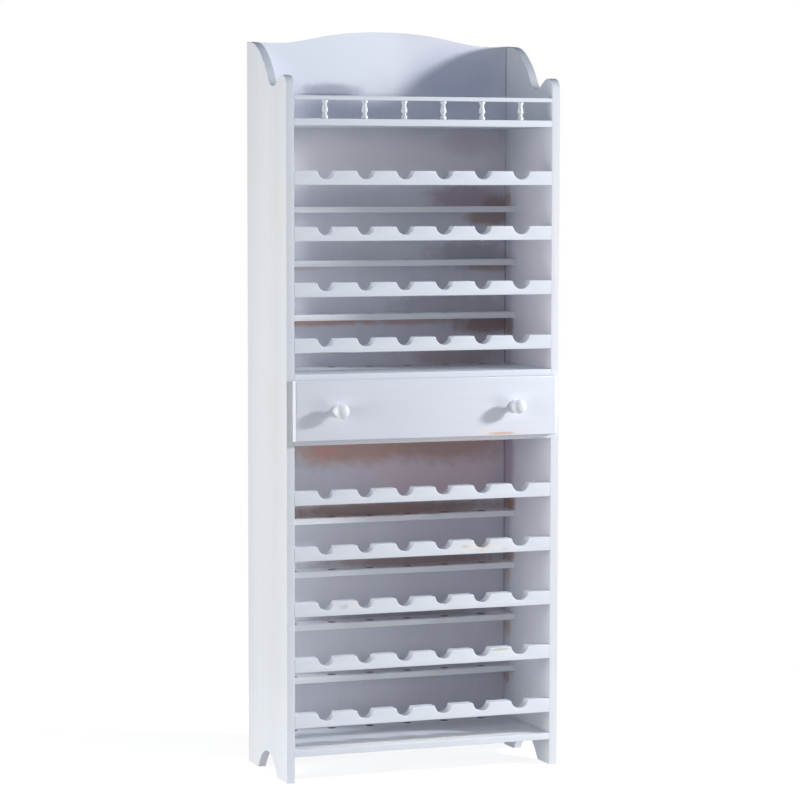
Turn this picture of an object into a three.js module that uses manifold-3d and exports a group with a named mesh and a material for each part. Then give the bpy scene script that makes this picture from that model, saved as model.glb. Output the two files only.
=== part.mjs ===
// Tall wine cabinet in painted pine: two scrolled sides, a crested back, a galleried top shelf,
// nine notched bottle rails in two bays and one drawer between the bays.
// Millimetres, +Z up, the doorless front faces -Y. The origin is on the floor, under the middle of the whole.
import * as THREE from 'three';
import { mergeVertices } from 'three/addons/utils/BufferGeometryUtils.js';
import Module from 'manifold-3d';

const wasm = await Module();
wasm.setup();

// Fits
const seatGap = 0.3;
const weldTolerance = 0.001;
const overrun = 4;

// Carcass
const cabinetWidth = 700;
const cabinetDepth = 300;
const sideThickness = 20;
const backThickness = 10;
const backLap = 10;
const shelfThickness = 16;
const housingDepth = 6;
const housingSetback = 12;

// Heights, stacked from the floor up
const bottomShelfRise = 63;
const lowerFirstRise = 52;
const lowerRailPitch = 133.25;
const lowerRailCount = 5;
const lowerHeadroom = 109;
const drawerOpening = 137;
const upperFirstRise = 50;
const upperRailPitch = 132.25;
const upperRailCount = 4;
const upperHeadroom = 106.25;
const sideRise = 191;
const crestRise = 28.5;

// Feet: a round-headed arch is cut between them. The bend share is the power that its sides follow:
// with two it would be a parabola.
const footLength = 75;
const archHeight = 52;
const archBendShare = 2.25;

// Scroll at the top front of each side
const scrollDepth = 264;
const scrollHeight = 111.3;
const shoulderFall = 2.7;

// Crest of the back: a crown in the middle and a low point on each side
const crestLowInset = 65;
const crestFall = 31;

// Front bottle rails
const railHeight = 34;
const railThickness = 30;
const notchRadius = 22;
const notchDepth = 19.8;
const notchLipRadius = 3;
const notchCount = 6;
const notchMargin = 30;
const tenonLength = 8;
const tenonHeight = 20;
const tenonThickness = 10;

// Rear bottle rails: flat boards against the back
const rearRailDepth = 66;
const rearRailThickness = 14.5;
const rearTongueLength = 8;
const rearTongueInset = 10;
const lowerRearRise = 119;
const lowerRearPitch = 131.25;
const upperRearRise = 115.5;
const upperRearPitch = 132;

// Shallow round sinkings behind the notches, in every board that a rack's bottles end on
const sinkingRadius = 11;
const sinkingDepth = 6;
const sinkingRearInset = 40;

// Gallery
const spindleHeight = 44;
const spindleRadius = 7.5;
const spindlePinRadius = 2.5;
const spindlePinLength = 5;
const galleryRailHeight = 10;
const galleryRailDepth = 20;
const galleryPinRadius = 3;
const galleryPinLength = 8;

// Drawer front, laid over the front edges around the opening
const frontThickness = 20;
const frontReveal = 1;
const frontLapSide = 5;
const frontLapBelow = 5;
const frontLapAbove = 2;
const frontEdgeRadius = 4;

// Drawer box
const boxSideGap = 1.5;
const boxLift = 3;
const boxHeadroom = 6;
const boxRearGap = 13;
const boxSideThickness = 12;
const boxTongueLength = 6;
const boxTongueThickness = 6;
const boxBackThickness = 12;
const boxBackInset = 6;
const boxBackDrop = 6;
const boxBackHousing = 4;
const boxPanelThickness = 5;
const boxPanelRise = 8;
const boxPanelGroove = 5;

// Drawer runners
const runnerHeight = 14;
const runnerRise = 58;
const runnerSetback = 12;
const runnerRearGap = 16;
const runnerGroove = 7;
const runnerSlack = 1;
const runnerScrewInset = 40;

// Knobs
const knobInset = 108;
const knobLength = 38;
const knobRadius = 17.5;
const knobHoleDepth = 20;

// Screws
const screwRadius = 2;
const screwHeadRadius = 4;
const screwHeadHeight = 2.4;
const runnerScrewLength = 18;
const backScrewLength = 25;
const backScrewCount = 4;
const backScrewInset = 150;
const knobScrewLength = 36;
const panelScrewLength = 16;

// Smoothness
const curveSteps = 14;
const archSteps = 24;
const notchSteps = 14;
const lipSteps = 3;
const spindleSides = 16;
const knobSides = 28;
const sinkingSides = 12;
const holeSides = 12;
const screwSides = 8;
const edgeSteps = 3;

// Scroll of the sides from the shoulder down to the front edge, as shares of its depth and height.
// Each row is one cubic curve: two control points, then its end.
const scrollShares = [
  [[0.932, 0.984], [0.842, 0.909], [0.778, 0.807]],
  [[0.697, 0.676], [0.595, 0.485], [0.54, 0.272]],
  [[0.464, -0.025], [0.393, 0.018], [0.349, 0.018]],
  [[0.304, 0.018], [0.287, 0.065], [0.251, 0.114]],
  [[0.21, 0.163], [0.168, 0.227], [0.122, 0.227]],
  [[0.089, 0.227], [0, 0.189], [0, 0]],
];

// Reach of the control points of the crest, as shares of the stretch of each curve
const crownHandleShare = 0.577;
const lowHandleShare = 0.329;
const endHandleShare = 0.33;

// Turned spindle from foot to top: radius as a share of the spindle radius, height as a share of its height
const spindleShares = [
  [0.92, 0], [0.97, 0.05], [0.94, 0.13], [0.76, 0.19], [0.6, 0.25], [0.64, 0.31], [0.9, 0.38], [1, 0.43],
  [0.93, 0.51], [0.74, 0.66], [0.6, 0.79], [0.68, 0.84], [0.93, 0.89], [0.97, 0.94], [0.92, 1],
];

// Turned knob from its foot out: radius as a share of the knob radius, reach as a share of its length
const knobShares = [
  [0.8, 0], [0.83, 0.04], [0.8, 0.09], [0.6, 0.14], [0.42, 0.21], [0.4, 0.34], [0.52, 0.42],
  [0.86, 0.5], [1, 0.6], [0.99, 0.74], [0.86, 0.87], [0.58, 0.96], [0.26, 1],
];

// Half widths and levels worked out from the sizes above
const halfInside = cabinetWidth / 2 - sideThickness;
const notchPitch = (2 * halfInside - 2 * notchMargin) / notchCount;
const crestLowReach = cabinetWidth / 2 - crestLowInset;
const knobReach = halfInside + frontLapSide - knobInset;
const backFace = cabinetDepth - backThickness;
const bottomShelfTop = bottomShelfRise + shelfThickness;
const lowerRailBase = bottomShelfTop + lowerFirstRise;
const underDrawerBase = lowerRailBase + (lowerRailCount - 1) * lowerRailPitch + railHeight + lowerHeadroom;
const openingBase = underDrawerBase + shelfThickness;
const boxHeight = drawerOpening - boxLift - boxHeadroom;
const overDrawerBase = openingBase + drawerOpening;
const overDrawerTop = overDrawerBase + shelfThickness;
const upperRailBase = overDrawerTop + upperFirstRise;
const topShelfBase = upperRailBase + (upperRailCount - 1) * upperRailPitch + railHeight + upperHeadroom;
const topShelfTop = topShelfBase + shelfThickness;
const sideTop = topShelfTop + sideRise;
const crestTop = sideTop + crestRise;
const galleryRailBase = topShelfTop + spindleHeight;
const galleryCentre = galleryRailDepth / 2;

// Finishes
const paint = { color: 0xe4e7ef, roughness: 0.5, metalness: 0 };
const turnedPaint = { color: 0xeef0f5, roughness: 0.35, metalness: 0 };
const barePine = { color: 0xd9b98a, roughness: 0.7, metalness: 0 };
const fibreboard = { color: 0xa9835a, roughness: 0.8, metalness: 0 };
const zincSteel = { color: 0xb9bcc0, roughness: 0.35, metalness: 0.9 };

// A closed three.js geometry as a solid that can be joined and cut
function toSolid(geometry) {
  const bare = geometry.clone();
  bare.deleteAttribute('normal');
  bare.deleteAttribute('uv');
  const merged = mergeVertices(bare, weldTolerance);
  const mesh = new wasm.Mesh({
    numProp: 3,
    vertProperties: new Float32Array(merged.attributes.position.array),
    triVerts: new Uint32Array(merged.index.array),
  });
  return new wasm.Manifold(mesh);
}

// A solid back as a three.js geometry
function toGeometry(solid) {
  const mesh = solid.getMesh();
  const geometry = new THREE.BufferGeometry();
  geometry.setAttribute('position', new THREE.BufferAttribute(new Float32Array(mesh.vertProperties), 3));
  geometry.setIndex(new THREE.BufferAttribute(new Uint32Array(mesh.triVerts), 1));
  geometry.computeVertexNormals();
  return geometry;
}

// A solid with a list of other solids cut from it
function cutAll(solid, cutters) {
  let result = solid;
  for (const cutter of cutters) {
    result = result.subtract(cutter);
  }
  return result;
}

// A block between two opposite corners
function block(low, high) {
  const geometry = new THREE.BoxGeometry(high[0] - low[0], high[1] - low[1], high[2] - low[2]);
  geometry.translate((low[0] + high[0]) / 2, (low[1] + high[1]) / 2, (low[2] + high[2]) / 2);
  return geometry;
}

// Points on an arc, from one angle to another in degrees, both ends kept
function arcPoints(centreX, centreY, radius, fromDegrees, toDegrees, steps) {
  const points = [];
  for (let i = 0; i <= steps; i += 1) {
    const angle = THREE.MathUtils.degToRad(fromDegrees + ((toDegrees - fromDegrees) * i) / steps);
    points.push(new THREE.Vector2(centreX + radius * Math.cos(angle), centreY + radius * Math.sin(angle)));
  }
  return points;
}

// An outline drawn in depth and height, given a width along +X
function extrudeAcross(shape, width) {
  const geometry = new THREE.ExtrudeGeometry(shape, {
    depth: width,
    bevelEnabled: false,
    curveSegments: curveSteps,
  });
  const turn = new THREE.Matrix4().makeBasis(
    new THREE.Vector3(0, 1, 0),
    new THREE.Vector3(0, 0, 1),
    new THREE.Vector3(1, 0, 0),
  );
  return geometry.applyMatrix4(turn);
}

// An outline drawn in width and height, given a depth along +Y, with its front on Y = 0
function extrudeBack(shape, depth) {
  const geometry = new THREE.ExtrudeGeometry(shape, {
    depth,
    bevelEnabled: false,
    curveSegments: curveSteps,
  });
  geometry.rotateX(Math.PI / 2);
  return geometry.translate(0, depth, 0);
}

// A board drawn as a plan outline, given a thickness along +Z
function extrudeUp(points, thickness) {
  const shape = new THREE.Shape(points.map(([x, y]) => new THREE.Vector2(x, y)));
  return new THREE.ExtrudeGeometry(shape, { depth: thickness, bevelEnabled: false });
}

// A round hole or pin along +X, +Y or +Z that starts at a point
function roundBar(start, axis, length, radius, sides) {
  const geometry = new THREE.CylinderGeometry(radius, radius, length, sides);
  geometry.translate(0, length / 2, 0);
  if (axis === 'x') {
    geometry.rotateZ(-Math.PI / 2);
  }
  if (axis === 'z') {
    geometry.rotateX(Math.PI / 2);
  }
  return geometry.translate(start[0], start[1], start[2]);
}

// A turned piece: its profile runs from the axis to the axis, and its length lies along +Y
function turned(profile, sides) {
  return new THREE.LatheGeometry(profile.map(([radius, y]) => new THREE.Vector2(radius, y)), sides);
}

// A countersunk screw whose head is flush with Y = 0 and whose point is at Y = length
function screwGeometry(length) {
  return turned([
    [0, 0],
    [screwHeadRadius, 0],
    [screwRadius, screwHeadHeight],
    [screwRadius, length - screwRadius],
    [0, length],
  ], screwSides);
}

// The same screw as a cutter, a fit gap larger all round, with its mouth open
function screwHole(length) {
  return turned([
    [0, -overrun],
    [screwHeadRadius + seatGap, -overrun],
    [screwHeadRadius + seatGap, 0],
    [screwRadius + seatGap, screwHeadHeight],
    [screwRadius + seatGap, length + seatGap],
    [0, length + seatGap],
  ], holeSides);
}

const cabinet = new THREE.Group();

// A named mesh of one piece, put at its place in its group
function addPiece(group, name, geometry, finish, place = [0, 0, 0]) {
  const mesh = new THREE.Mesh(geometry, new THREE.MeshStandardMaterial(finish));
  mesh.name = name;
  mesh.position.set(place[0], place[1], place[2]);
  group.add(mesh);
  return mesh;
}

// Levels of a stack of equal steps, from the top one down
function stackLevels(base, pitch, count) {
  return Array.from({ length: count }, (_, i) => base + (count - 1 - i) * pitch);
}

// Racks from the top down: the underside of the front rail and of the rear board, if the rack has one.
// The lowest rack of each bay has none, because the shelf below does its work.
function bayRacks(frontBase, frontPitch, rearBase, rearPitch, count) {
  const fronts = stackLevels(frontBase, frontPitch, count);
  const rears = stackLevels(rearBase, rearPitch, count - 1);
  return fronts.map((front, i) => ({ front, rear: rears[i] }));
}

const racks = [
  ...bayRacks(upperRailBase, upperRailPitch, overDrawerTop + upperRearRise, upperRearPitch, upperRailCount),
  ...bayRacks(lowerRailBase, lowerRailPitch, bottomShelfTop + lowerRearRise, lowerRearPitch, lowerRailCount),
];
const rearRacks = racks.filter((rack) => rack.rear !== undefined);
const rearRailFront = backFace - seatGap - rearRailDepth;
const shelfLevels = [bottomShelfRise, underDrawerBase, overDrawerBase, topShelfBase];

// Places shared by the runners, their screws and the sides
const runnerBase = openingBase + runnerRise;
const runnerLength = backFace - runnerRearGap - runnerSetback;
const runnerReach = boxSideGap + runnerGroove - runnerSlack;
const runnerScrewDepths = [runnerSetback + runnerScrewInset, runnerSetback + runnerLength - runnerScrewInset];
const runnerScrewLevel = runnerBase + runnerHeight / 2;
const backScrewReach = halfInside + backLap / 2;
const backScrewStep = (sideTop - 2 * backScrewInset) / (backScrewCount - 1);
const backScrewLevels = Array.from({ length: backScrewCount }, (_, i) => backScrewInset + i * backScrewStep);

// Outline of a side in depth and height: feet and arch, back edge, shoulder, scroll, front edge
function sideOutline() {
  const shape = new THREE.Shape();
  const archCentre = cabinetDepth / 2;
  const archHalf = cabinetDepth / 2 - footLength;
  shape.moveTo(0, 0);
  shape.lineTo(footLength, 0);
  for (let i = 1; i < archSteps; i += 1) {
    const reach = -Math.cos((Math.PI * i) / archSteps);
    const rise = 1 - Math.abs(reach) ** archBendShare;
    shape.lineTo(archCentre + archHalf * reach, archHeight * rise);
  }
  shape.lineTo(cabinetDepth - footLength, 0);
  shape.lineTo(cabinetDepth, 0);
  shape.lineTo(cabinetDepth, sideTop);
  shape.lineTo(scrollDepth, sideTop - shoulderFall);
  const scrollBase = sideTop - shoulderFall - scrollHeight;
  for (const [handleA, handleB, end] of scrollShares) {
    shape.bezierCurveTo(
      handleA[0] * scrollDepth, scrollBase + handleA[1] * scrollHeight,
      handleB[0] * scrollDepth, scrollBase + handleB[1] * scrollHeight,
      end[0] * scrollDepth, scrollBase + end[1] * scrollHeight,
    );
  }
  shape.lineTo(0, 0);
  return shape;
}

// A side lies with its outer face on X = 0 and its inner face towards +X; the right one is its mirror image
function sideSolid() {
  const inner = sideThickness;
  const cutters = [];
  for (const level of shelfLevels) {
    cutters.push(block(
      [inner - housingDepth, housingSetback, level - seatGap],
      [inner + overrun, cabinetDepth + overrun, level + shelfThickness + seatGap],
    ));
  }
  for (const rack of racks) {
    const low = rack.front + (railHeight - tenonHeight) / 2;
    const front = (railThickness - tenonThickness) / 2;
    cutters.push(block(
      [inner - tenonLength, front - seatGap, low - seatGap],
      [inner + overrun, front + tenonThickness + seatGap, low + tenonHeight + seatGap],
    ));
  }
  for (const { rear } of rearRacks) {
    cutters.push(block(
      [inner - rearTongueLength, rearRailFront + rearTongueInset - seatGap, rear - seatGap],
      [inner + overrun, backFace - rearTongueInset, rear + rearRailThickness + seatGap],
    ));
  }
  cutters.push(block(
    [inner - backLap - seatGap, backFace - seatGap, -overrun],
    [inner + overrun, cabinetDepth + overrun, crestTop],
  ));
  cutters.push(roundBar(
    [inner - galleryPinLength, galleryCentre, galleryRailBase + galleryRailHeight / 2],
    'x', galleryPinLength + overrun, galleryPinRadius + seatGap, holeSides,
  ));
  for (const depth of runnerScrewDepths) {
    const hole = roundBar([0, 0, 0], 'x', runnerScrewLength, screwRadius + seatGap, holeSides);
    cutters.push(hole.translate(inner + runnerReach - runnerScrewLength - seatGap, depth, runnerScrewLevel));
  }
  for (const level of backScrewLevels) {
    const tip = [inner - backLap / 2, cabinetDepth - backScrewLength - seatGap, level];
    cutters.push(roundBar(tip, 'y', backScrewLength, screwRadius + seatGap, holeSides));
  }
  return cutAll(toSolid(extrudeAcross(sideOutline(), sideThickness)), cutters.map(toSolid));
}

function addSides() {
  const side = sideSolid();
  addPiece(cabinet, 'side_panel_left', toGeometry(side), paint, [-cabinetWidth / 2, 0, 0]);
  addPiece(cabinet, 'side_panel_right', toGeometry(side.mirror([1, 0, 0])), paint, [cabinetWidth / 2, 0, 0]);
}

// The back stands in the rebates of the sides and is drawn from its left foot round over the crest
function addBack() {
  const half = halfInside + backLap - seatGap;
  const low = crestTop - crestFall;
  const endHandle = endHandleShare * (half - crestLowReach);
  const lowHandle = lowHandleShare * crestLowReach;
  const crownHandle = crownHandleShare * crestLowReach;
  const shape = new THREE.Shape();
  shape.moveTo(-half, bottomShelfRise);
  shape.lineTo(half, bottomShelfRise);
  shape.lineTo(half, sideTop);
  shape.bezierCurveTo(half - endHandle, sideTop, crestLowReach + endHandle, low, crestLowReach, low);
  shape.bezierCurveTo(crestLowReach - lowHandle, low, crownHandle, crestTop, 0, crestTop);
  shape.bezierCurveTo(-crownHandle, crestTop, lowHandle - crestLowReach, low, -crestLowReach, low);
  shape.bezierCurveTo(-crestLowReach - endHandle, low, endHandle - half, sideTop, -half, sideTop);
  shape.lineTo(-half, bottomShelfRise);
  const holes = [];
  for (const level of backScrewLevels) {
    for (const side of [-1, 1]) {
      const hole = screwHole(backScrewLength).rotateX(Math.PI);
      holes.push(hole.translate(side * backScrewReach, backThickness, level));
    }
  }
  const solid = cutAll(toSolid(extrudeBack(shape, backThickness)), holes.map(toSolid));
  addPiece(cabinet, 'back_panel', toGeometry(solid), paint, [0, backFace, 0]);
}

// A shelf fills the width and enters a stopped housing at each end
function shelfGeometry() {
  const shoulder = halfInside - seatGap;
  const end = halfInside + housingDepth - seatGap;
  const step = housingSetback + seatGap;
  const rear = backFace - seatGap;
  return extrudeUp([
    [-shoulder, 0], [shoulder, 0], [shoulder, step], [end, step],
    [end, rear], [-end, rear], [-end, step], [-shoulder, step],
  ], shelfThickness);
}

const notchPlaces = Array.from({ length: notchCount }, (_, i) => (i - (notchCount - 1) / 2) * notchPitch);

// A board that lies on Z = 0, with a row of sinkings in its top
function withSinkings(geometry, thickness, depth) {
  const cutters = notchPlaces.map((x) => roundBar(
    [x, depth, thickness - sinkingDepth], 'z', sinkingDepth + overrun, sinkingRadius, sinkingSides,
  ));
  return toGeometry(cutAll(toSolid(geometry), cutters.map(toSolid)));
}

function addShelves() {
  const plain = shelfGeometry();
  const sunk = withSinkings(plain, shelfThickness, backFace - sinkingRearInset);
  addPiece(cabinet, 'bottom_shelf', sunk, paint, [0, 0, bottomShelfRise]);
  addPiece(cabinet, 'shelf_under_drawer', plain, paint, [0, 0, underDrawerBase]);
  addPiece(cabinet, 'shelf_over_drawer', sunk, paint, [0, 0, overDrawerBase]);
  const pinHoles = notchPlaces.map((x) => roundBar(
    [x, galleryCentre, shelfThickness - spindlePinLength - seatGap],
    'z', spindlePinLength + overrun, spindlePinRadius + seatGap, holeSides,
  ));
  const topShelf = cutAll(toSolid(plain), pinHoles.map(toSolid));
  addPiece(cabinet, 'top_shelf', toGeometry(topShelf), paint, [0, 0, topShelfBase]);
}

// The gallery rail has a round pin at each end and six blind holes underneath
function addGallery() {
  const half = halfInside - seatGap;
  const bar = toSolid(block([-half, 0, 0], [half, galleryRailDepth, galleryRailHeight]));
  const pin = roundBar(
    [-half - galleryPinLength + seatGap, galleryCentre, galleryRailHeight / 2],
    'x', (half + galleryPinLength - seatGap) * 2, galleryPinRadius, holeSides,
  );
  const holes = notchPlaces.map((x) => roundBar(
    [x, galleryCentre, -overrun], 'z', spindlePinLength + overrun, spindlePinRadius + seatGap, holeSides,
  ));
  const rail = cutAll(bar.add(toSolid(pin)), holes.map(toSolid));
  addPiece(cabinet, 'gallery_rail', toGeometry(rail), paint, [0, 0, galleryRailBase]);
  const pinReach = spindlePinLength - seatGap;
  const bodyFoot = seatGap;
  const bodyLength = spindleHeight - 2 * seatGap;
  const profile = [
    [0, -pinReach],
    [spindlePinRadius, -pinReach],
    [spindlePinRadius, bodyFoot],
    ...spindleShares.map(([r, h]) => [r * spindleRadius, bodyFoot + h * bodyLength]),
    [spindlePinRadius, bodyFoot + bodyLength],
    [spindlePinRadius, spindleHeight + pinReach],
    [0, spindleHeight + pinReach],
  ];
  notchPlaces.forEach((x, i) => {
    const name = `gallery_spindle_${i + 1}`;
    const place = [x, galleryCentre, topShelfTop];
    const spindle = addPiece(cabinet, name, turned(profile, spindleSides), turnedPaint, place);
    spindle.rotation.x = Math.PI / 2;
  });
}

// Outline of a front bottle rail in width and height, with round notches and eased lips along its top
function notchedOutline() {
  const half = halfInside - seatGap;
  const bowlLevel = railHeight - notchDepth + notchRadius;
  const lipLevel = railHeight - notchLipRadius;
  const lipSpan = notchRadius + notchLipRadius;
  const lipReach = Math.sqrt(lipSpan ** 2 - (bowlLevel - lipLevel) ** 2);
  const lipAngle = THREE.MathUtils.radToDeg(Math.asin((bowlLevel - lipLevel) / lipSpan));
  const points = [
    new THREE.Vector2(-half, 0),
    new THREE.Vector2(half, 0),
    new THREE.Vector2(half, railHeight),
  ];
  for (const x of [...notchPlaces].reverse()) {
    points.push(...arcPoints(x + lipReach, lipLevel, notchLipRadius, 90, 180 - lipAngle, lipSteps));
    const bowl = arcPoints(x, bowlLevel, notchRadius, -lipAngle, lipAngle - 180, notchSteps);
    points.push(...bowl.slice(1, -1));
    points.push(...arcPoints(x - lipReach, lipLevel, notchLipRadius, lipAngle, 90, lipSteps));
  }
  points.push(new THREE.Vector2(-half, railHeight));
  return new THREE.Shape(points);
}

function addFrontRails() {
  const end = halfInside + tenonLength - seatGap;
  const front = (railThickness - tenonThickness) / 2;
  const low = (railHeight - tenonHeight) / 2;
  const half = halfInside - seatGap - tenonLength;
  const body = toSolid(extrudeBack(notchedOutline(), railThickness));
  const tenons = [-1, 1].map((side) => toSolid(block(
    [Math.min(side * half, side * end), front, low],
    [Math.max(side * half, side * end), front + tenonThickness, low + tenonHeight],
  )));
  const solid = body.add(tenons[0]).add(tenons[1]);
  racks.forEach((rack, i) => {
    addPiece(cabinet, `bottle_rail_front_${i + 1}`, toGeometry(solid), paint, [0, 0, rack.front]);
  });
}

// A rear bottle rail is a flat board with a tongue at each end and sinkings in its top
function addRearRails() {
  const shoulder = halfInside - seatGap;
  const end = halfInside + rearTongueLength - seatGap;
  const depth = rearRailDepth;
  const tongueRear = depth - rearTongueInset;
  const outline = [
    [-shoulder, 0], [shoulder, 0], [shoulder, rearTongueInset],
    [end, rearTongueInset], [end, tongueRear], [shoulder, tongueRear],
    [shoulder, depth], [-shoulder, depth], [-shoulder, tongueRear],
    [-end, tongueRear], [-end, rearTongueInset], [-shoulder, rearTongueInset],
  ];
  const sinkingPlace = backFace - sinkingRearInset - rearRailFront;
  const board = withSinkings(extrudeUp(outline, rearRailThickness), rearRailThickness, sinkingPlace);
  racks.forEach(({ rear }, i) => {
    if (rear !== undefined) {
      addPiece(cabinet, `bottle_rail_rear_${i + 1}`, board, paint, [0, rearRailFront, rear]);
    }
  });
}

// Each runner is a strip on the side panel that enters the groove of the drawer side, with two screws
function addRunners() {
  for (const [word, side] of [['left', -1], ['right', 1]]) {
    const near = side * (halfInside - seatGap);
    const far = side * (halfInside - runnerReach);
    const strip = block(
      [Math.min(near, far), runnerSetback, runnerBase],
      [Math.max(near, far), runnerSetback + runnerLength, runnerBase + runnerHeight],
    );
    const turn = side * -Math.PI / 2;
    const holes = runnerScrewDepths.map((depth) => {
      const hole = screwHole(runnerScrewLength).rotateZ(turn);
      return toSolid(hole.translate(far, depth, runnerScrewLevel));
    });
    addPiece(cabinet, `drawer_runner_${word}`, toGeometry(cutAll(toSolid(strip), holes)), barePine);
    runnerScrewDepths.forEach((depth, i) => {
      const name = `runner_screw_${word}_${i + 1}`;
      const place = [far, depth, runnerScrewLevel];
      const screw = addPiece(cabinet, name, screwGeometry(runnerScrewLength), zincSteel, place);
      screw.rotation.z = turn;
    });
  }
}

function addBackScrews() {
  for (const [word, side] of [['left', -1], ['right', 1]]) {
    backScrewLevels.forEach((level, i) => {
      const place = [side * backScrewReach, cabinetDepth, level];
      const name = `back_screw_${word}_${i + 1}`;
      const screw = addPiece(cabinet, name, screwGeometry(backScrewLength), zincSteel, place);
      screw.rotation.x = Math.PI;
    });
  }
}

// Drawer, in a group of its own whose origin is on the front edge of the carcass at the foot of the box
const drawer = new THREE.Group();
drawer.position.set(0, 0, openingBase + boxLift);
cabinet.add(drawer);

const boxHalf = halfInside - boxSideGap;
const boxInner = boxHalf - boxSideThickness;
const boxFront = -frontReveal;
const boxRear = backFace - boxRearGap;
const tongueOuter = boxHalf - (boxSideThickness - boxTongueThickness) / 2;
const tongueInner = tongueOuter - boxTongueThickness;
const panelBase = boxPanelRise + seatGap;
const panelTop = panelBase + boxPanelThickness;
const boxBackRear = boxRear - boxBackInset;
const boxBackFront = boxBackRear - boxBackThickness;
const frontBase = -boxLift - frontLapBelow;
const frontHeight = frontLapBelow + drawerOpening + frontLapAbove;
const knobLevel = frontBase + frontHeight / 2;
const frontFace = boxFront - frontThickness;

// The drawer front has rounded front edges; behind, it takes the tongues of the sides and the bottom panel
function addDrawerFront() {
  const half = halfInside + frontLapSide;
  const inset = frontEdgeRadius;
  const shape = new THREE.Shape([
    new THREE.Vector2(-half, frontBase), new THREE.Vector2(half, frontBase),
    new THREE.Vector2(half, frontBase + frontHeight), new THREE.Vector2(-half, frontBase + frontHeight),
  ]);
  const slab = new THREE.ExtrudeGeometry(shape, {
    depth: frontThickness - inset,
    bevelEnabled: true,
    bevelSize: inset,
    bevelOffset: -inset,
    bevelThickness: inset,
    bevelSegments: edgeSteps,
  });
  slab.rotateX(Math.PI / 2);
  slab.translate(0, boxFront, 0);
  const behind = block([-cabinetWidth, boxFront, -cabinetWidth], [cabinetWidth, cabinetDepth, cabinetWidth]);
  const cutters = [behind];
  for (const side of [-1, 1]) {
    const a = side * (tongueInner - seatGap);
    const b = side * (tongueOuter + seatGap);
    cutters.push(block(
      [Math.min(a, b), boxFront - boxTongueLength, -seatGap],
      [Math.max(a, b), boxFront + overrun, boxHeight + seatGap],
    ));
    const hole = roundBar(
      [side * knobReach, frontFace - overrun, knobLevel],
      'y', frontThickness + 2 * overrun, screwRadius + seatGap, holeSides,
    );
    cutters.push(hole);
  }
  const panelEnd = boxInner + boxPanelGroove;
  cutters.push(block(
    [-panelEnd, boxFront - boxPanelGroove, boxPanelRise],
    [panelEnd, boxFront + overrun, panelTop + seatGap],
  ));
  const solid = cutAll(toSolid(slab), cutters.map(toSolid));
  addPiece(drawer, 'drawer_front', toGeometry(solid), paint);
}

// A drawer side: a board with a tongue in front. It is grooved inside for the panel and the back,
// and outside for the runner.
function drawerSideSolid(side) {
  const front = boxFront + seatGap;
  const board = toSolid(block([boxInner, front, 0], [boxHalf, boxRear, boxHeight]));
  const tongue = toSolid(block(
    [tongueInner, boxFront - boxTongueLength + seatGap, 0], [tongueOuter, front + overrun, boxHeight],
  ));
  const runnerLow = runnerBase - openingBase - boxLift;
  const cutters = [
    block(
      [boxHalf - runnerGroove, runnerSetback - runnerSlack, runnerLow - runnerSlack],
      [boxHalf + overrun, boxRear + overrun, runnerLow + runnerHeight + seatGap],
    ),
    block(
      [boxInner - overrun, boxFront - boxTongueLength - overrun, boxPanelRise],
      [boxInner + boxPanelGroove, boxRear + overrun, panelTop + seatGap],
    ),
    block(
      [boxInner - overrun, boxBackFront - seatGap, panelTop],
      [boxInner + boxBackHousing, boxBackRear + seatGap, boxHeight + overrun],
    ),
  ];
  const right = cutAll(board.add(tongue), cutters.map(toSolid));
  return side === 1 ? right : right.mirror([1, 0, 0]);
}

function addDrawerBox() {
  addPiece(drawer, 'drawer_side_left', toGeometry(drawerSideSolid(-1)), barePine);
  addPiece(drawer, 'drawer_side_right', toGeometry(drawerSideSolid(1)), barePine);
  const backHalf = boxInner + boxBackHousing - seatGap;
  const backBoard = toSolid(block(
    [-backHalf, boxBackFront, panelTop + seatGap],
    [backHalf, boxBackRear, boxHeight - boxBackDrop],
  ));
  const panelHalf = boxInner + boxPanelGroove - seatGap;
  const panel = toSolid(block(
    [-panelHalf, boxFront - boxPanelGroove + seatGap, panelBase], [panelHalf, boxBackRear, panelTop],
  ));
  const screwName = 'drawer_bottom_screw';
  const screwPlace = [0, (boxBackFront + boxBackRear) / 2, panelBase];
  const hole = toSolid(screwHole(panelScrewLength).rotateX(Math.PI / 2).translate(...screwPlace));
  addPiece(drawer, 'drawer_back', toGeometry(backBoard.subtract(hole)), barePine);
  addPiece(drawer, 'drawer_bottom', toGeometry(panel.subtract(hole)), fibreboard);
  const screw = addPiece(drawer, screwName, screwGeometry(panelScrewLength), zincSteel, screwPlace);
  screw.rotation.x = Math.PI / 2;
}

// Knobs stand on the drawer front; a screw from inside the drawer enters each of them
function addKnobs() {
  const profile = [
    [0, 0],
    ...knobShares.map(([r, reach]) => [r * knobRadius, reach * knobLength]),
    [0, knobLength],
  ];
  const bore = roundBar([0, -overrun, 0], 'y', knobHoleDepth + overrun, screwRadius + seatGap, holeSides);
  const knob = toSolid(turned(profile, knobSides)).subtract(toSolid(bore));
  const screwProfile = [
    [0, -screwHeadHeight - seatGap],
    [screwHeadRadius, -screwHeadHeight - seatGap],
    [screwHeadRadius, -seatGap],
    [screwRadius, -seatGap],
    [screwRadius, knobScrewLength - screwRadius],
    [0, knobScrewLength],
  ];
  for (const [word, side] of [['left', -1], ['right', 1]]) {
    const x = side * knobReach;
    const knobPlace = [x, frontFace - seatGap, knobLevel];
    const mesh = addPiece(drawer, `knob_${word}`, toGeometry(knob), turnedPaint, knobPlace);
    mesh.rotation.x = Math.PI;
    const screwPlace = [x, boxFront, knobLevel];
    const screwName = `knob_screw_${word}`;
    const screw = addPiece(drawer, screwName, turned(screwProfile, screwSides), zincSteel, screwPlace);
    screw.rotation.x = Math.PI;
  }
}

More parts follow.
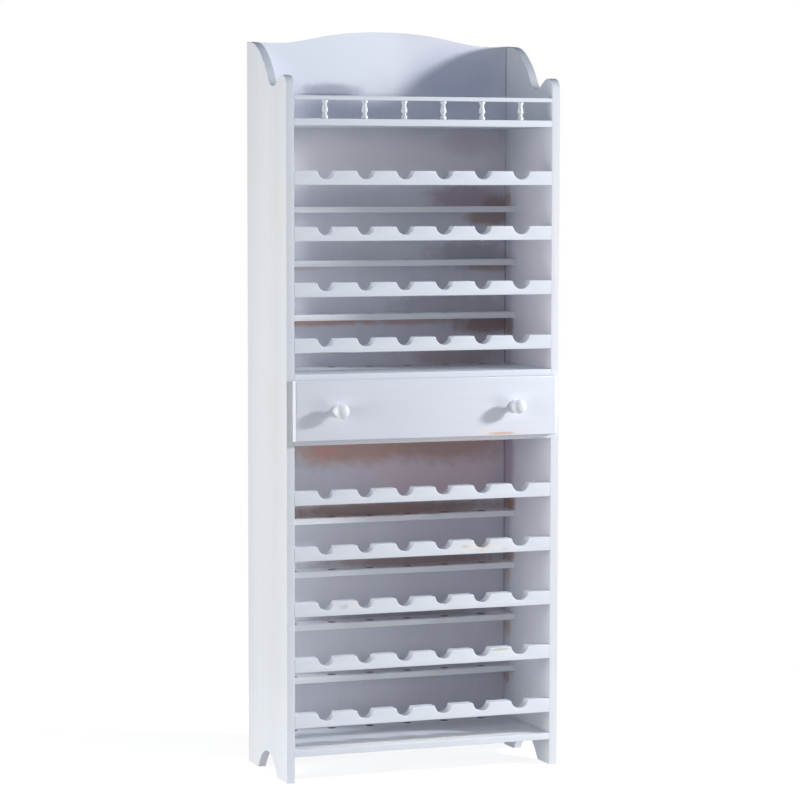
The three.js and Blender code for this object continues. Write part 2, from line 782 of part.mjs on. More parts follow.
addSides();
addBack();
addShelves();
addGallery();
addFrontRails();
addRearRails();
addRunners();
addBackScrews();
addDrawerFront();
addDrawerBox();
addKnobs();

// The origin lies midway between the knobs' tips and the back of the sides
const reachInFront = frontReveal + frontThickness + seatGap + knobLength;
cabinet.position.y = -(cabinetDepth - reachInFront) / 2;

const wineCabinet = new THREE.Group();
wineCabinet.add(cabinet);

export default wineCabinet;
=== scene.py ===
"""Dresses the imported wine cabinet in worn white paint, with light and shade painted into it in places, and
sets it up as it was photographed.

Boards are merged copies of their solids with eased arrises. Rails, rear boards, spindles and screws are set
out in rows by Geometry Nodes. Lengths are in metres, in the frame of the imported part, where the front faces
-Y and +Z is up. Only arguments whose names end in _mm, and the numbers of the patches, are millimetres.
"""

import logging
import math
from dataclasses import dataclass, field
from enum import Enum
from typing import Callable

import bmesh
import bpy
from mathutils import Matrix, Vector


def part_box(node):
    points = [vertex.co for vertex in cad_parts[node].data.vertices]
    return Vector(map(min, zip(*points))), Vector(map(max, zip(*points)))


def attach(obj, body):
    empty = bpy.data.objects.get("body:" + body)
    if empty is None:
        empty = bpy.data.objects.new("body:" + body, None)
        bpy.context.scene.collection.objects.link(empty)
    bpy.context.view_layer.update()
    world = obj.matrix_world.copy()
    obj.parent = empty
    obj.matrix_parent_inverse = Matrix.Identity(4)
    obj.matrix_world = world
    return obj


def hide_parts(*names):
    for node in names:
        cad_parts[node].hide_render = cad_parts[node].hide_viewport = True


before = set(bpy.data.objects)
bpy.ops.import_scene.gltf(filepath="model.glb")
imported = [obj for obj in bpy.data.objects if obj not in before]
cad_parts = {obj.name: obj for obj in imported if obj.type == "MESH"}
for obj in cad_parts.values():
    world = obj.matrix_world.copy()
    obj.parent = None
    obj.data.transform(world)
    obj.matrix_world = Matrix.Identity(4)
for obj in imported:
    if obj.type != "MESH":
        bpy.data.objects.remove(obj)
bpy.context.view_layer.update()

LOG = logging.getLogger("wine_cabinet")
MM = 0.001
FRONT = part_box("side_panel_left")[0].y
HANDS = ("left", "right")

# Face attributes that the paint reads: rubbed arrises, and sinkings, which it darkens with a painted shade
ARRIS = "arris"
SINKING = "sinking"

Pair = tuple[float, float]
Triple = tuple[float, float, float]
Colour = Triple
Profile = list[Pair]
Pick = Callable[[Vector, Vector], bool]

# Paints
WHITE: Colour = (0.80, 0.825, 0.875)
COOL: Colour = (0.81, 0.825, 0.895)
LILAC: Colour = (0.81, 0.80, 0.87)
# A lighter white for the rear rails: painted light
LIT_WHITE: Colour = (0.97, 0.975, 0.99)
SATIN: Colour = (0.86, 0.875, 0.91)
# A white for patches of painted light
HIGHLIGHT_WHITE: Colour = (0.93, 0.955, 1.0)

# Colours laid into the paint: grain and cloud, rubbed wood, painted shade and painted shadow, and stains
GRAIN_SHADE: Colour = (0.36, 0.37, 0.42)
WARM_SHADE: Colour = (0.80, 0.74, 0.66)
RUBBED_WOOD: Colour = (0.42, 0.30, 0.20)
# Painted shade in the sinkings, lighter and darker
SINKING_SHADE_LIGHT: Colour = (0.56, 0.55, 0.56)
SINKING_SHADE_DARK: Colour = (0.32, 0.31, 0.33)
# Painted shade and painted shadow, from grey to warm brown; the first one also draws dark joint lines
SHADE_AND_JOINT_GREY: Colour = (0.42, 0.41, 0.50)
SHADE_SLATE: Colour = (0.42, 0.41, 0.45)
SHADE_MAUVE: Colour = (0.58, 0.46, 0.54)
SHADE_RED_BROWN: Colour = (0.50, 0.25, 0.15)
SHADE_UMBER: Colour = (0.40, 0.25, 0.20)
SHADE_BLUSH: Colour = (0.68, 0.43, 0.34)
# Stains
BISQUE: Colour = (0.88, 0.81, 0.77)
CREAM: Colour = (0.87, 0.82, 0.74)

# Bare wood and metal
PINE: Colour = (0.66, 0.47, 0.27)
PINE_RING: Colour = (0.46, 0.27, 0.12)
HARDBOARD: Colour = (0.34, 0.21, 0.11)
HARDBOARD_FLECK: Colour = (0.25, 0.14, 0.07)
ZINC: Colour = (0.66, 0.67, 0.69)
DULL_ZINC: Colour = (0.42, 0.40, 0.36)


class Slot(Enum):
    """Names of the material slots."""

    SIDE = "side_paint"
    BACK = "back_paint"
    SHELF = "shelf_paint"
    RAIL = "rail_paint"
    DRAWER = "drawer_paint"
    TURNED = "turned_paint"
    PINE = "bare_pine"
    STEEL = "zinc_steel"


class Body(Enum):
    """Bodies; what rides on one moves with it."""

    CARCASS = "carcass"
    DRAWER = "drawer"


class Grain(Enum):
    """The way the grain runs, as how quickly the pattern changes along X, Y and Z."""

    UPRIGHT = (1.0, 1.0, 0.022)
    LENGTHWISE = (0.022, 1.0, 1.0)
    INWARD = (1.0, 0.03, 1.0)
    NONE = (1.0, 1.0, 1.0)


class Crisp(Enum):
    """The angle in degrees from which an edge stays crisp."""

    BOARD = 32.0
    DRAWER_FRONT = 40.0
    TURNED = 50.0
    SCREW = 30.0


def at_front(x_mm: float, y_mm: float, z_mm: float) -> Triple:
    """A place given in millimetres from the middle of the front plane.

    Args:
        x_mm: to the right of the middle.
        y_mm: behind the front edges of the sides.
        z_mm: above the floor.

    Returns:
        The same place in metres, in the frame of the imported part.
    """
    return (x_mm * MM, FRONT + y_mm * MM, z_mm * MM)


def centre_of(node: str) -> Vector:
    """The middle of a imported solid's box."""
    low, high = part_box(node)
    return (low + high) / 2


class NodeDesk:
    """Lays out and links the nodes of one tree."""

    def __init__(self, tree: bpy.types.NodeTree) -> None:
        """Keeps the tree that the nodes go into."""
        self.tree = tree

    def add(self, kind: str, inputs: dict | None = None, **settings: object) -> bpy.types.Node:
        """Adds a node.

        Args:
            kind: the node's type.
            inputs: value or output socket for each input, by name or number.
            settings: the node's own properties.

        Returns:
            The new node.
        """
        node = self.tree.nodes.new(kind)
        for name, value in settings.items():
            setattr(node, name, value)
        for name, value in (inputs or {}).items():
            if isinstance(value, bpy.types.NodeSocket):
                self.tree.links.new(value, node.inputs[name])
            else:
                node.inputs[name].default_value = value
        return node

    def maths(self, operation: str, *values: object) -> bpy.types.NodeSocket:
        """Adds a Math node and returns its output."""
        return self.add("ShaderNodeMath", dict(enumerate(values)), operation=operation).outputs[0]

    def weigh(self, first: object, second: object, share: float) -> bpy.types.NodeSocket:
        """Adds two values up by weight.

        Args:
            first: the first value.
            second: the second value.
            share: weight of the first; the second has the rest of 1.

        Returns:
            The socket with the sum.
        """
        part = self.maths("MULTIPLY", first, share)
        rest = self.maths("MULTIPLY", second, 1.0 - share)
        return self.maths("ADD", part, rest)

    def ramp(self, value: object, span: Pair, result: Pair) -> bpy.types.NodeSocket:
        """Adds a smooth change from one value to another.

        Args:
            value: what drives the change.
            span: where it begins and where it ends.
            result: the values at its beginning and at its end.

        Returns:
            The socket with the changed value.
        """
        inputs = {
            "Value": value,
            "From Min": span[0], "From Max": span[1],
            "To Min": result[0], "To Max": result[1],
        }
        return self.add("ShaderNodeMapRange", inputs, interpolation_type="SMOOTHSTEP").outputs["Result"]

    def blend(self, share: object, first: object, second: object, mode: str = "MIX") -> bpy.types.NodeSocket:
        """Adds a mix of two colours.

        Args:
            share: how much of the second colour shows.
            first: the colour below.
            second: the colour laid over it.
            mode: the kind of mix.

        Returns:
            The socket with the mixed colour.
        """
        node = self.add("ShaderNodeMix", data_type="RGBA", blend_type=mode, clamp_factor=True)
        for name, value in (("Factor", share), ("A", first), ("B", second)):
            kind = "VALUE" if name == "Factor" else "RGBA"
            socket = next(s for s in node.inputs if s.name == name and s.type == kind)
            if isinstance(value, bpy.types.NodeSocket):
                self.tree.links.new(value, socket)
            else:
                socket.default_value = value if kind == "VALUE" else (*value, 1.0)
        return next(s for s in node.outputs if s.type == "RGBA")

    def noise(self, place: object, scale: float, detail: float, rough: float) -> bpy.types.NodeSocket:
        """Adds a noise pattern.

        Args:
            place: the place at which it is read.
            scale: how fine the pattern is.
            detail: how many finer layers it has.
            rough: how strong the finer layers are.

        Returns:
            The socket with its value, from 0 to 1.
        """
        inputs = {"Vector": place, "Scale": scale, "Detail": detail, "Roughness": rough}
        return self.add("ShaderNodeTexNoise", inputs).outputs["Fac"]

    def stretch(self, place: object, scale: Triple, shift: Triple = (0, 0, 0)) -> bpy.types.NodeSocket:
        """Scales and shifts a place.

        Args:
            place: the place to change.
            scale: factor along each axis.
            shift: what is added along each axis.

        Returns:
            The socket with the new place.
        """
        inputs = {"Vector": place, "Scale": scale, "Location": shift}
        return self.add("ShaderNodeMapping", inputs).outputs["Vector"]


def open_tree(owner: bpy.types.Material | bpy.types.World) -> NodeDesk:
    """Gives a new material or world an empty node tree.

    Args:
        owner: the material or world.

    Returns:
        A desk on its tree.
    """
    owner.use_nodes = True
    owner.node_tree.nodes.clear()
    return NodeDesk(owner.node_tree)


@dataclass(frozen=True)
class LightShadeStainPatch:
    """A patch of colour in the paint: in most places painted light and shade, in a few a stain."""

    centre: Triple
    reach: Triple
    colour: Colour
    strength: float
    raggedness: float
    grain_size: float

    def share(self, desk: NodeDesk, place: bpy.types.NodeSocket) -> bpy.types.NodeSocket:
        """How much of the patch shows at a place.

        Args:
            desk: the tree to build in.
            place: the place on the piece.

        Returns:
            A socket with 0 outside the patch and its strength in the middle.
        """
        inputs = {"Vector": place, "Location": self.centre, "Scale": self.reach}
        local = desk.add("ShaderNodeMapping", inputs, vector_type="TEXTURE").outputs["Vector"]
        distance = desk.add("ShaderNodeVectorMath", {0: local}, operation="LENGTH").outputs["Value"]
        noise = desk.noise(place, scale=self.grain_size, detail=5.0, rough=0.65)
        ragged = desk.maths("MULTIPLY_ADD", desk.maths("SUBTRACT", noise, 0.5), self.raggedness, distance)
        return desk.ramp(ragged, (1.0, 0.35), (0.0, self.strength))


@dataclass(frozen=True)
class Face:
    """A flat face that patches lie on: the axis across it, its place on that axis and how deep patches go."""

    axis: int
    level: float
    depth: float

    def patch(self, first: float, second: float, half_first: float, half_second: float,
              colour: Colour, strength: float, raggedness: float, grain_size: float) -> LightShadeStainPatch:
        """Lays a patch on the face.

        Args:
            first: millimetres from the middle of the front plane, along the first of the face's two axes.
            second: the same along the other one.
            half_first: half of the patch's length along the first axis, in millimetres.
            half_second: the same along the other one.
            colour: its colour.
            strength: how strongly it shows in the middle, from 0 to 1.
            raggedness: how ragged its rim is.
            grain_size: how fine that raggedness is.

        Returns:
            The patch.
        """
        place = [first, second]
        place.insert(self.axis, 0.0)
        centre = list(at_front(*place))
        centre[self.axis] = self.level
        reach = [half_first * MM, half_second * MM]
        reach.insert(self.axis, self.depth)
        return LightShadeStainPatch(tuple(centre), tuple(reach), colour, strength, raggedness, grain_size)


def top_at(z_mm: float) -> Face:
    """The face of a rear rail's or a shelf's top at a height."""
    return Face(2, z_mm * MM, 4 * MM)


@dataclass(frozen=True)
class Paint:
    """White paint on pine: faint grain, cloudy tone, soft brush lines, and patches of painted light, painted
    shade and stains.
    """

    name: str
    tint: Colour
    grain: Grain
    grain_depth: float = 0.05
    clouds: float = 0.04
    roughness: float = 0.45
    relief: float = 0.12
    arris_wear: float = 0.12
    patches: tuple[LightShadeStainPatch, ...] = ()

    def build(self) -> bpy.types.Material:
        """Makes the material.

        Returns:
            The material: grain and clouds, then the patches in their order, rubbed arrises, and a painted
                shade in the sinkings.
        """
        material = bpy.data.materials.new(self.name)
        desk = open_tree(material)
        place = desk.add("ShaderNodeTexCoord").outputs["Object"]
        along = desk.stretch(place, self.grain.value)
        fine = desk.noise(along, scale=420.0, detail=3.0, rough=0.6)
        broad = desk.noise(along, scale=55.0, detail=4.0, rough=0.55)
        cloud = desk.noise(place, scale=4.5, detail=3.0, rough=0.5)
        streak = desk.weigh(fine, broad, 0.45)
        colour = desk.blend(desk.ramp(streak, (0.35, 0.68), (0.0, self.grain_depth)), self.tint, GRAIN_SHADE)
        colour = desk.blend(desk.ramp(cloud, (0.42, 0.7), (0.0, self.clouds)), colour, WARM_SHADE)
        for patch in self.patches:
            colour = desk.blend(patch.share(desk, place), colour, patch.colour)
        rubbed = desk.add("ShaderNodeAttribute", attribute_name=ARRIS).outputs["Fac"]
        chip = desk.noise(place, scale=150.0, detail=4.0, rough=0.7)
        chips = desk.ramp(chip, (0.52, 0.66), (0.0, self.arris_wear))
        colour = desk.blend(desk.maths("MULTIPLY", rubbed, chips), colour, RUBBED_WOOD)
        # Painted shade: the floors and walls of the sinkings are multiplied darker
        sunk = desk.add("ShaderNodeAttribute", attribute_name=SINKING).outputs["Fac"]
        depth = desk.blend(desk.ramp(fine, (0.35, 0.65), (0.0, 1.0)), SINKING_SHADE_LIGHT, SINKING_SHADE_DARK)
        colour = desk.blend(sunk, colour, depth, "MULTIPLY")
        beside = desk.stretch(along, (1.0, 1.0, 1.0), (0.3, 0.1, 0.2))
        brush = desk.noise(beside, scale=900.0, detail=2.0, rough=0.5)
        height = desk.weigh(broad, brush, 0.7)
        bump = desk.add("ShaderNodeBump", {"Strength": self.relief, "Distance": 0.6 * MM, "Height": height})
        gloss = desk.ramp(streak, (0.3, 0.7), (self.roughness - 0.05, self.roughness + 0.08))
        shader = desk.add(
            "ShaderNodeBsdfPrincipled",
            {
                "Base Color": colour, "Roughness": gloss, "Normal": bump.outputs["Normal"],
                "Specular IOR Level": 0.35,
            },
        )
        desk.add("ShaderNodeOutputMaterial", {"Surface": shader.outputs["BSDF"]})
        return material


@dataclass(frozen=True)
class BareWood:
    """Unpainted wood or hardboard inside the drawer."""

    name: str
    light: Colour
    dark: Colour
    grain: Grain
    rings: float = 9.0
    roughness: float = 0.62

    def build(self) -> bpy.types.Material:
        """Makes the material.

        Returns:
            The material, with rings in the darker colour and fine pores over them.
        """
        material = bpy.data.materials.new(self.name)
        desk = open_tree(material)
        place = desk.add("ShaderNodeTexCoord").outputs["Object"]
        along = desk.stretch(place, self.grain.value)
        warp = desk.noise(along, scale=self.rings, detail=2.0, rough=0.5)
        bands = desk.maths("FRACT", desk.maths("MULTIPLY", warp, 7.0))
        early = desk.ramp(bands, (0.0, 0.75), (0.0, 1.0))
        pores = desk.noise(along, scale=500.0, detail=3.0, rough=0.6)
        colour = desk.blend(desk.maths("MULTIPLY", early, 0.55), self.light, self.dark)
        colour = desk.blend(desk.ramp(pores, (0.45, 0.75), (0.0, 0.35)), colour, self.dark)
        bump = desk.add("ShaderNodeBump", {"Strength": 0.15, "Distance": 0.5 * MM, "Height": pores})
        gloss = desk.ramp(pores, (0.3, 0.7), (self.roughness - 0.06, self.roughness + 0.1))
        shader = desk.add(
            "ShaderNodeBsdfPrincipled",
            {"Base Color": colour, "Roughness": gloss, "Normal": bump.outputs["Normal"]},
        )
        desk.add("ShaderNodeOutputMaterial", {"Surface": shader.outputs["BSDF"]})
        return material


@dataclass(frozen=True)
class ZincSteel:
    """Zinc-plated steel of the screws."""

    name: str = "zinc_plated_steel"
    roughness: float = 0.32

    def build(self) -> bpy.types.Material:
        """Makes the material.

        Returns:
            The material, with dull stains in the plating.
        """
        material = bpy.data.materials.new(self.name)
        desk = open_tree(material)
        place = desk.add("ShaderNodeTexCoord").outputs["Object"]
        stain = desk.noise(place, scale=260.0, detail=4.0, rough=0.6)
        colour = desk.blend(desk.ramp(stain, (0.4, 0.7), (0.0, 0.6)), ZINC, DULL_ZINC)
        gloss = desk.ramp(stain, (0.35, 0.7), (self.roughness - 0.06, self.roughness + 0.18))
        shader = desk.add(
            "ShaderNodeBsdfPrincipled", {"Base Color": colour, "Roughness": gloss, "Metallic": 1.0}
        )
        desk.add("ShaderNodeOutputMaterial", {"Surface": shader.outputs["BSDF"]})
        return material


# Faces that the patches lie on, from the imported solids
BACK_FACE = Face(1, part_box("back_panel")[0].y, 4 * MM)
SIDE_FACE = Face(0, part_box("side_panel_right")[0].x, 6 * MM)
RAIL_FACE = Face(1, FRONT, 12 * MM)
SHELF_EDGE = Face(1, FRONT, 20 * MM)
DRAWER_FACE = Face(1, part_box("drawer_front")[0].y, 14 * MM)
DRAWER_END = Face(1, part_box("drawer_front")[0].y, 6 * MM)

BACK_PATCHES = (
    # Painted light: a lighter crest where the key lamp falls on it, and a lighter back in the upper bay.
    # Painted shadow: a darker patch in the crest's shadow on the right
    BACK_FACE.patch(-150, 1750, 320, 150, HIGHLIGHT_WHITE, 0.95, 0.3, 12),
    BACK_FACE.patch(-20, 1490, 520, 100, (0.97, 0.945, 0.97), 0.95, 0.4, 12),
    BACK_FACE.patch(190, 1690, 170, 100, (0.60, 0.64, 0.78), 0.7, 0.3, 12),
    # Painted shadow on the crest just above the gallery rail: a patch and a thin line
    BACK_FACE.patch(-140, 1654, 95, 24, SHADE_AND_JOINT_GREY, 0.6, 0.7, 26),
    BACK_FACE.patch(-150, 1645, 110, 3.5, SHADE_AND_JOINT_GREY, 0.9, 0.6, 60),
    # Painted shade in warm and grey tones on the back towards the right side, in its corner, and in bands
    # just over the rear rails of the upper bay
    BACK_FACE.patch(225, 1525, 100, 40, (0.72, 0.56, 0.56), 0.35, 0.9, 20),
    BACK_FACE.patch(225, 1390, 140, 50, (0.48, 0.36, 0.42), 0.75, 0.9, 24),
    BACK_FACE.patch(305, 1375, 45, 30, SHADE_UMBER, 0.6, 0.9, 30),
    BACK_FACE.patch(285, 1343, 90, 30, SHADE_UMBER, 0.7, 0.9, 30),
    BACK_FACE.patch(235, 1252, 150, 50, SHADE_SLATE, 0.65, 0.9, 24),
    BACK_FACE.patch(290, 1217, 90, 14, SHADE_RED_BROWN, 0.45, 0.9, 30),
    BACK_FACE.patch(-230, 1218, 120, 8, SHADE_BLUSH, 0.35, 0.8, 40),
    BACK_FACE.patch(190, 1122, 230, 50, SHADE_SLATE, 0.5, 0.9, 24),
    BACK_FACE.patch(-170, 1086, 190, 15, SHADE_BLUSH, 0.85, 0.8, 30),
    BACK_FACE.patch(70, 1084, 180, 13, SHADE_BLUSH, 0.55, 0.8, 30),
    BACK_FACE.patch(270, 1074, 120, 32, SHADE_UMBER, 0.75, 0.9, 30),
    BACK_FACE.patch(190, 1000, 190, 40, (0.48, 0.34, 0.35), 0.6, 0.9, 26),
    # Under the shelf below the drawer: a pink tint, and painted shade in warm tones just under the shelf and
    # in the left corner
    BACK_FACE.patch(150, 715, 320, 110, (0.90, 0.73, 0.78), 0.9, 0.9, 16),
    BACK_FACE.patch(-80, 784, 270, 72, SHADE_BLUSH, 0.9, 0.9, 20),
    BACK_FACE.patch(170, 778, 220, 68, (0.66, 0.44, 0.38), 0.9, 0.9, 24),
    BACK_FACE.patch(-148, 763, 40, 24, (0.80, 0.42, 0.40), 0.7, 0.8, 40),
    BACK_FACE.patch(-318, 775, 20, 50, (0.70, 0.58, 0.72), 0.6, 0.6, 40),
    # Painted shade with a brown tint in bands on the back just over the rear rails of the lower bay
    BACK_FACE.patch(0, 616, 420, 24, (0.40, 0.26, 0.21), 0.8, 0.7, 34),
    BACK_FACE.patch(90, 485, 340, 22, (0.42, 0.28, 0.26), 0.75, 0.7, 34),
    BACK_FACE.patch(60, 353, 340, 20, (0.32, 0.29, 0.31), 0.65, 0.7, 34),
    BACK_FACE.patch(80, 222, 340, 20, SHADE_SLATE, 0.6, 0.7, 34),
    BACK_FACE.patch(329, 830, 4, 900, (0.24, 0.24, 0.32), 0.6, 0.3, 60),
    BACK_FACE.patch(330, 1700, 3.5, 120, SHADE_AND_JOINT_GREY, 0.9, 0.3, 60),
)
SIDE_PATCHES = (
    # The right side's inner face: a lilac tint over it all
    SIDE_FACE.patch(110, 880, 200, 950, (0.82, 0.81, 0.87), 0.95, 0.2, 20),
    # Painted shade towards the back corner and in the corners by the rear rails, in warm tones
    SIDE_FACE.patch(288, 820, 55, 950, (0.48, 0.48, 0.56), 0.5, 0.3, 20),
    SIDE_FACE.patch(268, 725, 55, 130, SHADE_MAUVE, 0.7, 0.5, 20),
    SIDE_FACE.patch(258, 625, 50, 35, (0.40, 0.22, 0.16), 0.8, 0.7, 40),
    SIDE_FACE.patch(260, 492, 45, 26, (0.42, 0.25, 0.20), 0.7, 0.7, 40),
    SIDE_FACE.patch(272, 440, 30, 30, SHADE_BLUSH, 0.5, 0.7, 40),
    SIDE_FACE.patch(270, 302, 30, 32, SHADE_BLUSH, 0.6, 0.7, 40),
    SIDE_FACE.patch(274, 178, 28, 24, SHADE_RED_BROWN, 0.55, 0.7, 40),
    SIDE_FACE.patch(275, 1388, 25, 30, SHADE_RED_BROWN, 0.5, 0.7, 40),
    SIDE_FACE.patch(265, 1070, 40, 35, SHADE_UMBER, 0.6, 0.7, 40),
)
REAR_PATCHES = (
    # Painted shade, with a brown tint, on the tops of the rear rails of the lower bay
    top_at(606).patch(0, 262, 420, 55, (0.38, 0.26, 0.22), 0.8, 0.8, 30),
    top_at(475).patch(110, 262, 320, 55, (0.42, 0.31, 0.29), 0.75, 0.8, 30),
    top_at(343.5).patch(90, 262, 340, 55, (0.36, 0.34, 0.37), 0.7, 0.8, 30),
    top_at(212.5).patch(100, 262, 340, 55, SHADE_SLATE, 0.6, 0.8, 30),
)
RAIL_PATCHES = (
    RAIL_FACE.patch(147, 543, 26, 8, (0.80, 0.52, 0.45), 0.55, 1.0, 70),
    RAIL_FACE.patch(140, 547, 85, 12, CREAM, 0.6, 1.0, 50),
    RAIL_FACE.patch(106, 550, 14, 6, (0.50, 0.50, 0.48), 0.4, 1.1, 110),
    RAIL_FACE.patch(212, 540, 12, 4, (0.50, 0.48, 0.44), 0.35, 1.1, 110),
    RAIL_FACE.patch(-160, 420, 60, 11, CREAM, 0.35, 1.0, 60),
    RAIL_FACE.patch(-205, 418, 16, 8, (0.56, 0.57, 0.55), 0.5, 1.1, 110),
    RAIL_FACE.patch(203, 289, 38, 10, (0.86, 0.84, 0.78), 0.6, 1.0, 60),
    RAIL_FACE.patch(198, 293.5, 34, 4, (0.45, 0.45, 0.43), 0.6, 1.0, 90),
    RAIL_FACE.patch(-240, 1026.5, 60, 2, (0.42, 0.35, 0.30), 0.7, 0.8, 90),
)
SHELF_PATCHES = (
    # Painted shade on the back part of the shelf over the drawer and of the bottom shelf
    top_at(976).patch(130, 235, 340, 110, (0.46, 0.37, 0.38), 0.6, 0.8, 24),
    top_at(79).patch(120, 185, 320, 70, (0.60, 0.57, 0.58), 0.6, 0.7, 24),
    # Painted light on the front strip of the bottom shelf and on the front edge of the shelf under the drawer
    top_at(79).patch(0, 40, 420, 60, (1.0, 0.99, 0.985), 0.95, 0.3, 20),
    SHELF_EDGE.patch(0, 811.5, 420, 7, (0.91, 0.86, 0.88), 1.0, 0.2, 30),
)
DRAWER_PATCHES = (
    DRAWER_FACE.patch(148, 830, 30, 10, BISQUE, 0.75, 0.9, 70),
    DRAWER_FACE.patch(242, 828, 32, 6, BISQUE, 0.6, 0.9, 70),
    DRAWER_FACE.patch(192, 824.5, 46, 5, (0.74, 0.48, 0.33), 0.85, 1.0, 100),
    # Painted shade on the rounded left end of the drawer's front face
    DRAWER_END.patch(-331.6, 890, 1.5, 80, (0.50, 0.51, 0.56), 0.6, 0.3, 60),
)


class Finishes:
    """The finishes of the cabinet, each made once."""

    def __init__(self) -> None:
        """Makes every material."""
        self.side = Paint(
            "paint_on_sides", WHITE, Grain.UPRIGHT, grain_depth=0.10, clouds=0.16, patches=SIDE_PATCHES
        ).build()
        self.back = Paint(
            "paint_on_back", LILAC, Grain.UPRIGHT, grain_depth=0.06, clouds=0.08, patches=BACK_PATCHES
        ).build()
        self.shelf = Paint("paint_on_shelves", WHITE, Grain.LENGTHWISE, patches=SHELF_PATCHES).build()
        self.rail = Paint(
            "paint_on_rails", WHITE, Grain.LENGTHWISE, grain_depth=0.06, patches=RAIL_PATCHES
        ).build()
        # The rear rails' lighter white is painted light
        self.rear = Paint("paint_on_rear_boards", LIT_WHITE, Grain.LENGTHWISE, patches=REAR_PATCHES).build()
        self.drawer = Paint(
            "paint_on_drawer", COOL, Grain.LENGTHWISE, clouds=0.08, patches=DRAWER_PATCHES
        ).build()
        self.turned = Paint(
            "paint_on_turnings", SATIN, Grain.NONE, grain_depth=0.02, roughness=0.3, relief=0.04
        ).build()
        self.box_side = BareWood("bare_pine_along", PINE, PINE_RING, Grain.INWARD).build()
        self.box_cross = BareWood("bare_pine_across", PINE, PINE_RING, Grain.LENGTHWISE).build()
        self.board = BareWood("brown_hardboard", HARDBOARD, HARDBOARD_FLECK, Grain.NONE, rings=60.0).build()
        self.steel = ZincSteel().build()


@dataclass(frozen=True)
class Row:
    """A straight row of copies: how many, where the first one stands and the step to the next."""

    count: int
    start: Triple
    step: Triple


ZERO: Triple = (0.0, 0.0, 0.0)
NO_ROW = Row(0, ZERO, ZERO)


class RowTree:
    """Geometry Nodes that repeat one piece in two straight rows, with a small seeded turn for each copy."""

    LETTERS = ("A", "B")

    def __init__(self, name: str) -> None:
        """Builds the tree.

        Args:
            name: the tree's name.
        """
        self.tree = bpy.data.node_groups.new(name, "GeometryNodeTree")
        self.tree.is_modifier = True
        self.desk = NodeDesk(self.tree)
        self.name_inputs()
        given = self.desk.add("NodeGroupInput").outputs
        copies = self.desk.add(
            "GeometryNodeInstanceOnPoints",
            {"Points": self.points(given), "Instance": given["Geometry"], "Rotation": self.turns(given)},
        )
        real = self.desk.add("GeometryNodeRealizeInstances", {"Geometry": copies.outputs[0]})
        dressed = self.desk.add(
            "GeometryNodeSetMaterial", {"Geometry": real.outputs[0], "Material": given["Finish"]}
        )
        self.desk.add("NodeGroupOutput", {"Geometry": dressed.outputs[0]})

    def name_inputs(self) -> None:
        """Names the tree's inputs and its output."""
        kinds = {"Geometry": "NodeSocketGeometry"}
        for letter in self.LETTERS:
            kinds[f"Count {letter}"] = "NodeSocketInt"
            kinds[f"Start {letter}"] = "NodeSocketVector"
            kinds[f"Step {letter}"] = "NodeSocketVector"
        kinds |= {"Turn": "NodeSocketVector", "Seed": "NodeSocketInt", "Finish": "NodeSocketMaterial"}
        for name, kind in kinds.items():
            self.tree.interface.new_socket(name, in_out="INPUT", socket_type=kind)
        self.tree.interface.new_socket("Geometry", in_out="OUTPUT", socket_type="NodeSocketGeometry")

    def points(self, given: bpy.types.NodeOutputs) -> bpy.types.NodeSocket:
        """Sets out the points of both rows.

        Args:
            given: the tree's inputs.

        Returns:
            The socket with the points of both.
        """
        lines = []
        for letter in self.LETTERS:
            inputs = {
                "Count": given[f"Count {letter}"],
                "Start Location": given[f"Start {letter}"],
                "Offset": given[f"Step {letter}"],
            }
            lines.append(self.desk.add("GeometryNodeMeshLine", inputs, mode="OFFSET"))
        joined = self.desk.add("GeometryNodeJoinGeometry")
        for line in lines:
            self.tree.links.new(line.outputs[0], joined.inputs[0])
        return joined.outputs[0]

    def turns(self, given: bpy.types.NodeOutputs) -> bpy.types.NodeSocket:
        """Draws a turn for each copy, up to the input Turn to either side.

        Args:
            given: the tree's inputs.

        Returns:
            The socket with the angles.
        """
        back = self.desk.add(
            "ShaderNodeVectorMath", {0: given["Turn"], 1: (-1.0, -1.0, -1.0)}, operation="MULTIPLY"
        )
        turn = self.desk.add("FunctionNodeRandomValue", data_type="FLOAT_VECTOR")
        lowest, highest = (s for s in turn.inputs if s.type == "VECTOR")
        self.tree.links.new(back.outputs[0], lowest)
        self.tree.links.new(given["Turn"], highest)
        self.tree.links.new(given["Seed"], turn.inputs["Seed"])
        return next(s for s in turn.outputs if s.type == "VECTOR")

    def lay_out(self, piece: bpy.types.Object, finish: bpy.types.Material, seed: int, turn: Triple,
                rows: tuple[Row, Row]) -> None:
        """Repeats a piece in two rows and leaves it as one plain mesh.

        Args:
            piece: the piece to repeat.
            finish: its material.
            seed: seed of the turns.
            turn: the largest turn about each axis, in radians.
            rows: both rows; NO_ROW leaves one out.
        """
        values: dict[str, object] = {"Finish": finish, "Seed": seed, "Turn": turn}
        for letter, row in zip(self.LETTERS, rows):
            values |= {f"Count {letter}": row.count, f"Start {letter}": row.start, f"Step {letter}": row.step}
        modifier = piece.modifiers.new("rows", "NODES")
        modifier.node_group = self.tree
        for item in self.tree.interface.items_tree:
            if item.item_type == "SOCKET" and item.in_out == "INPUT" and item.name in values:
                modifier[item.identifier] = values[item.name]
        piece.update_tag()
        bpy.context.view_layer.update()
        seen = piece.evaluated_get(bpy.context.evaluated_depsgraph_get())
        mesh = bpy.data.meshes.new_from_object(seen)
        piece.modifiers.remove(modifier)
        piece.data = mesh


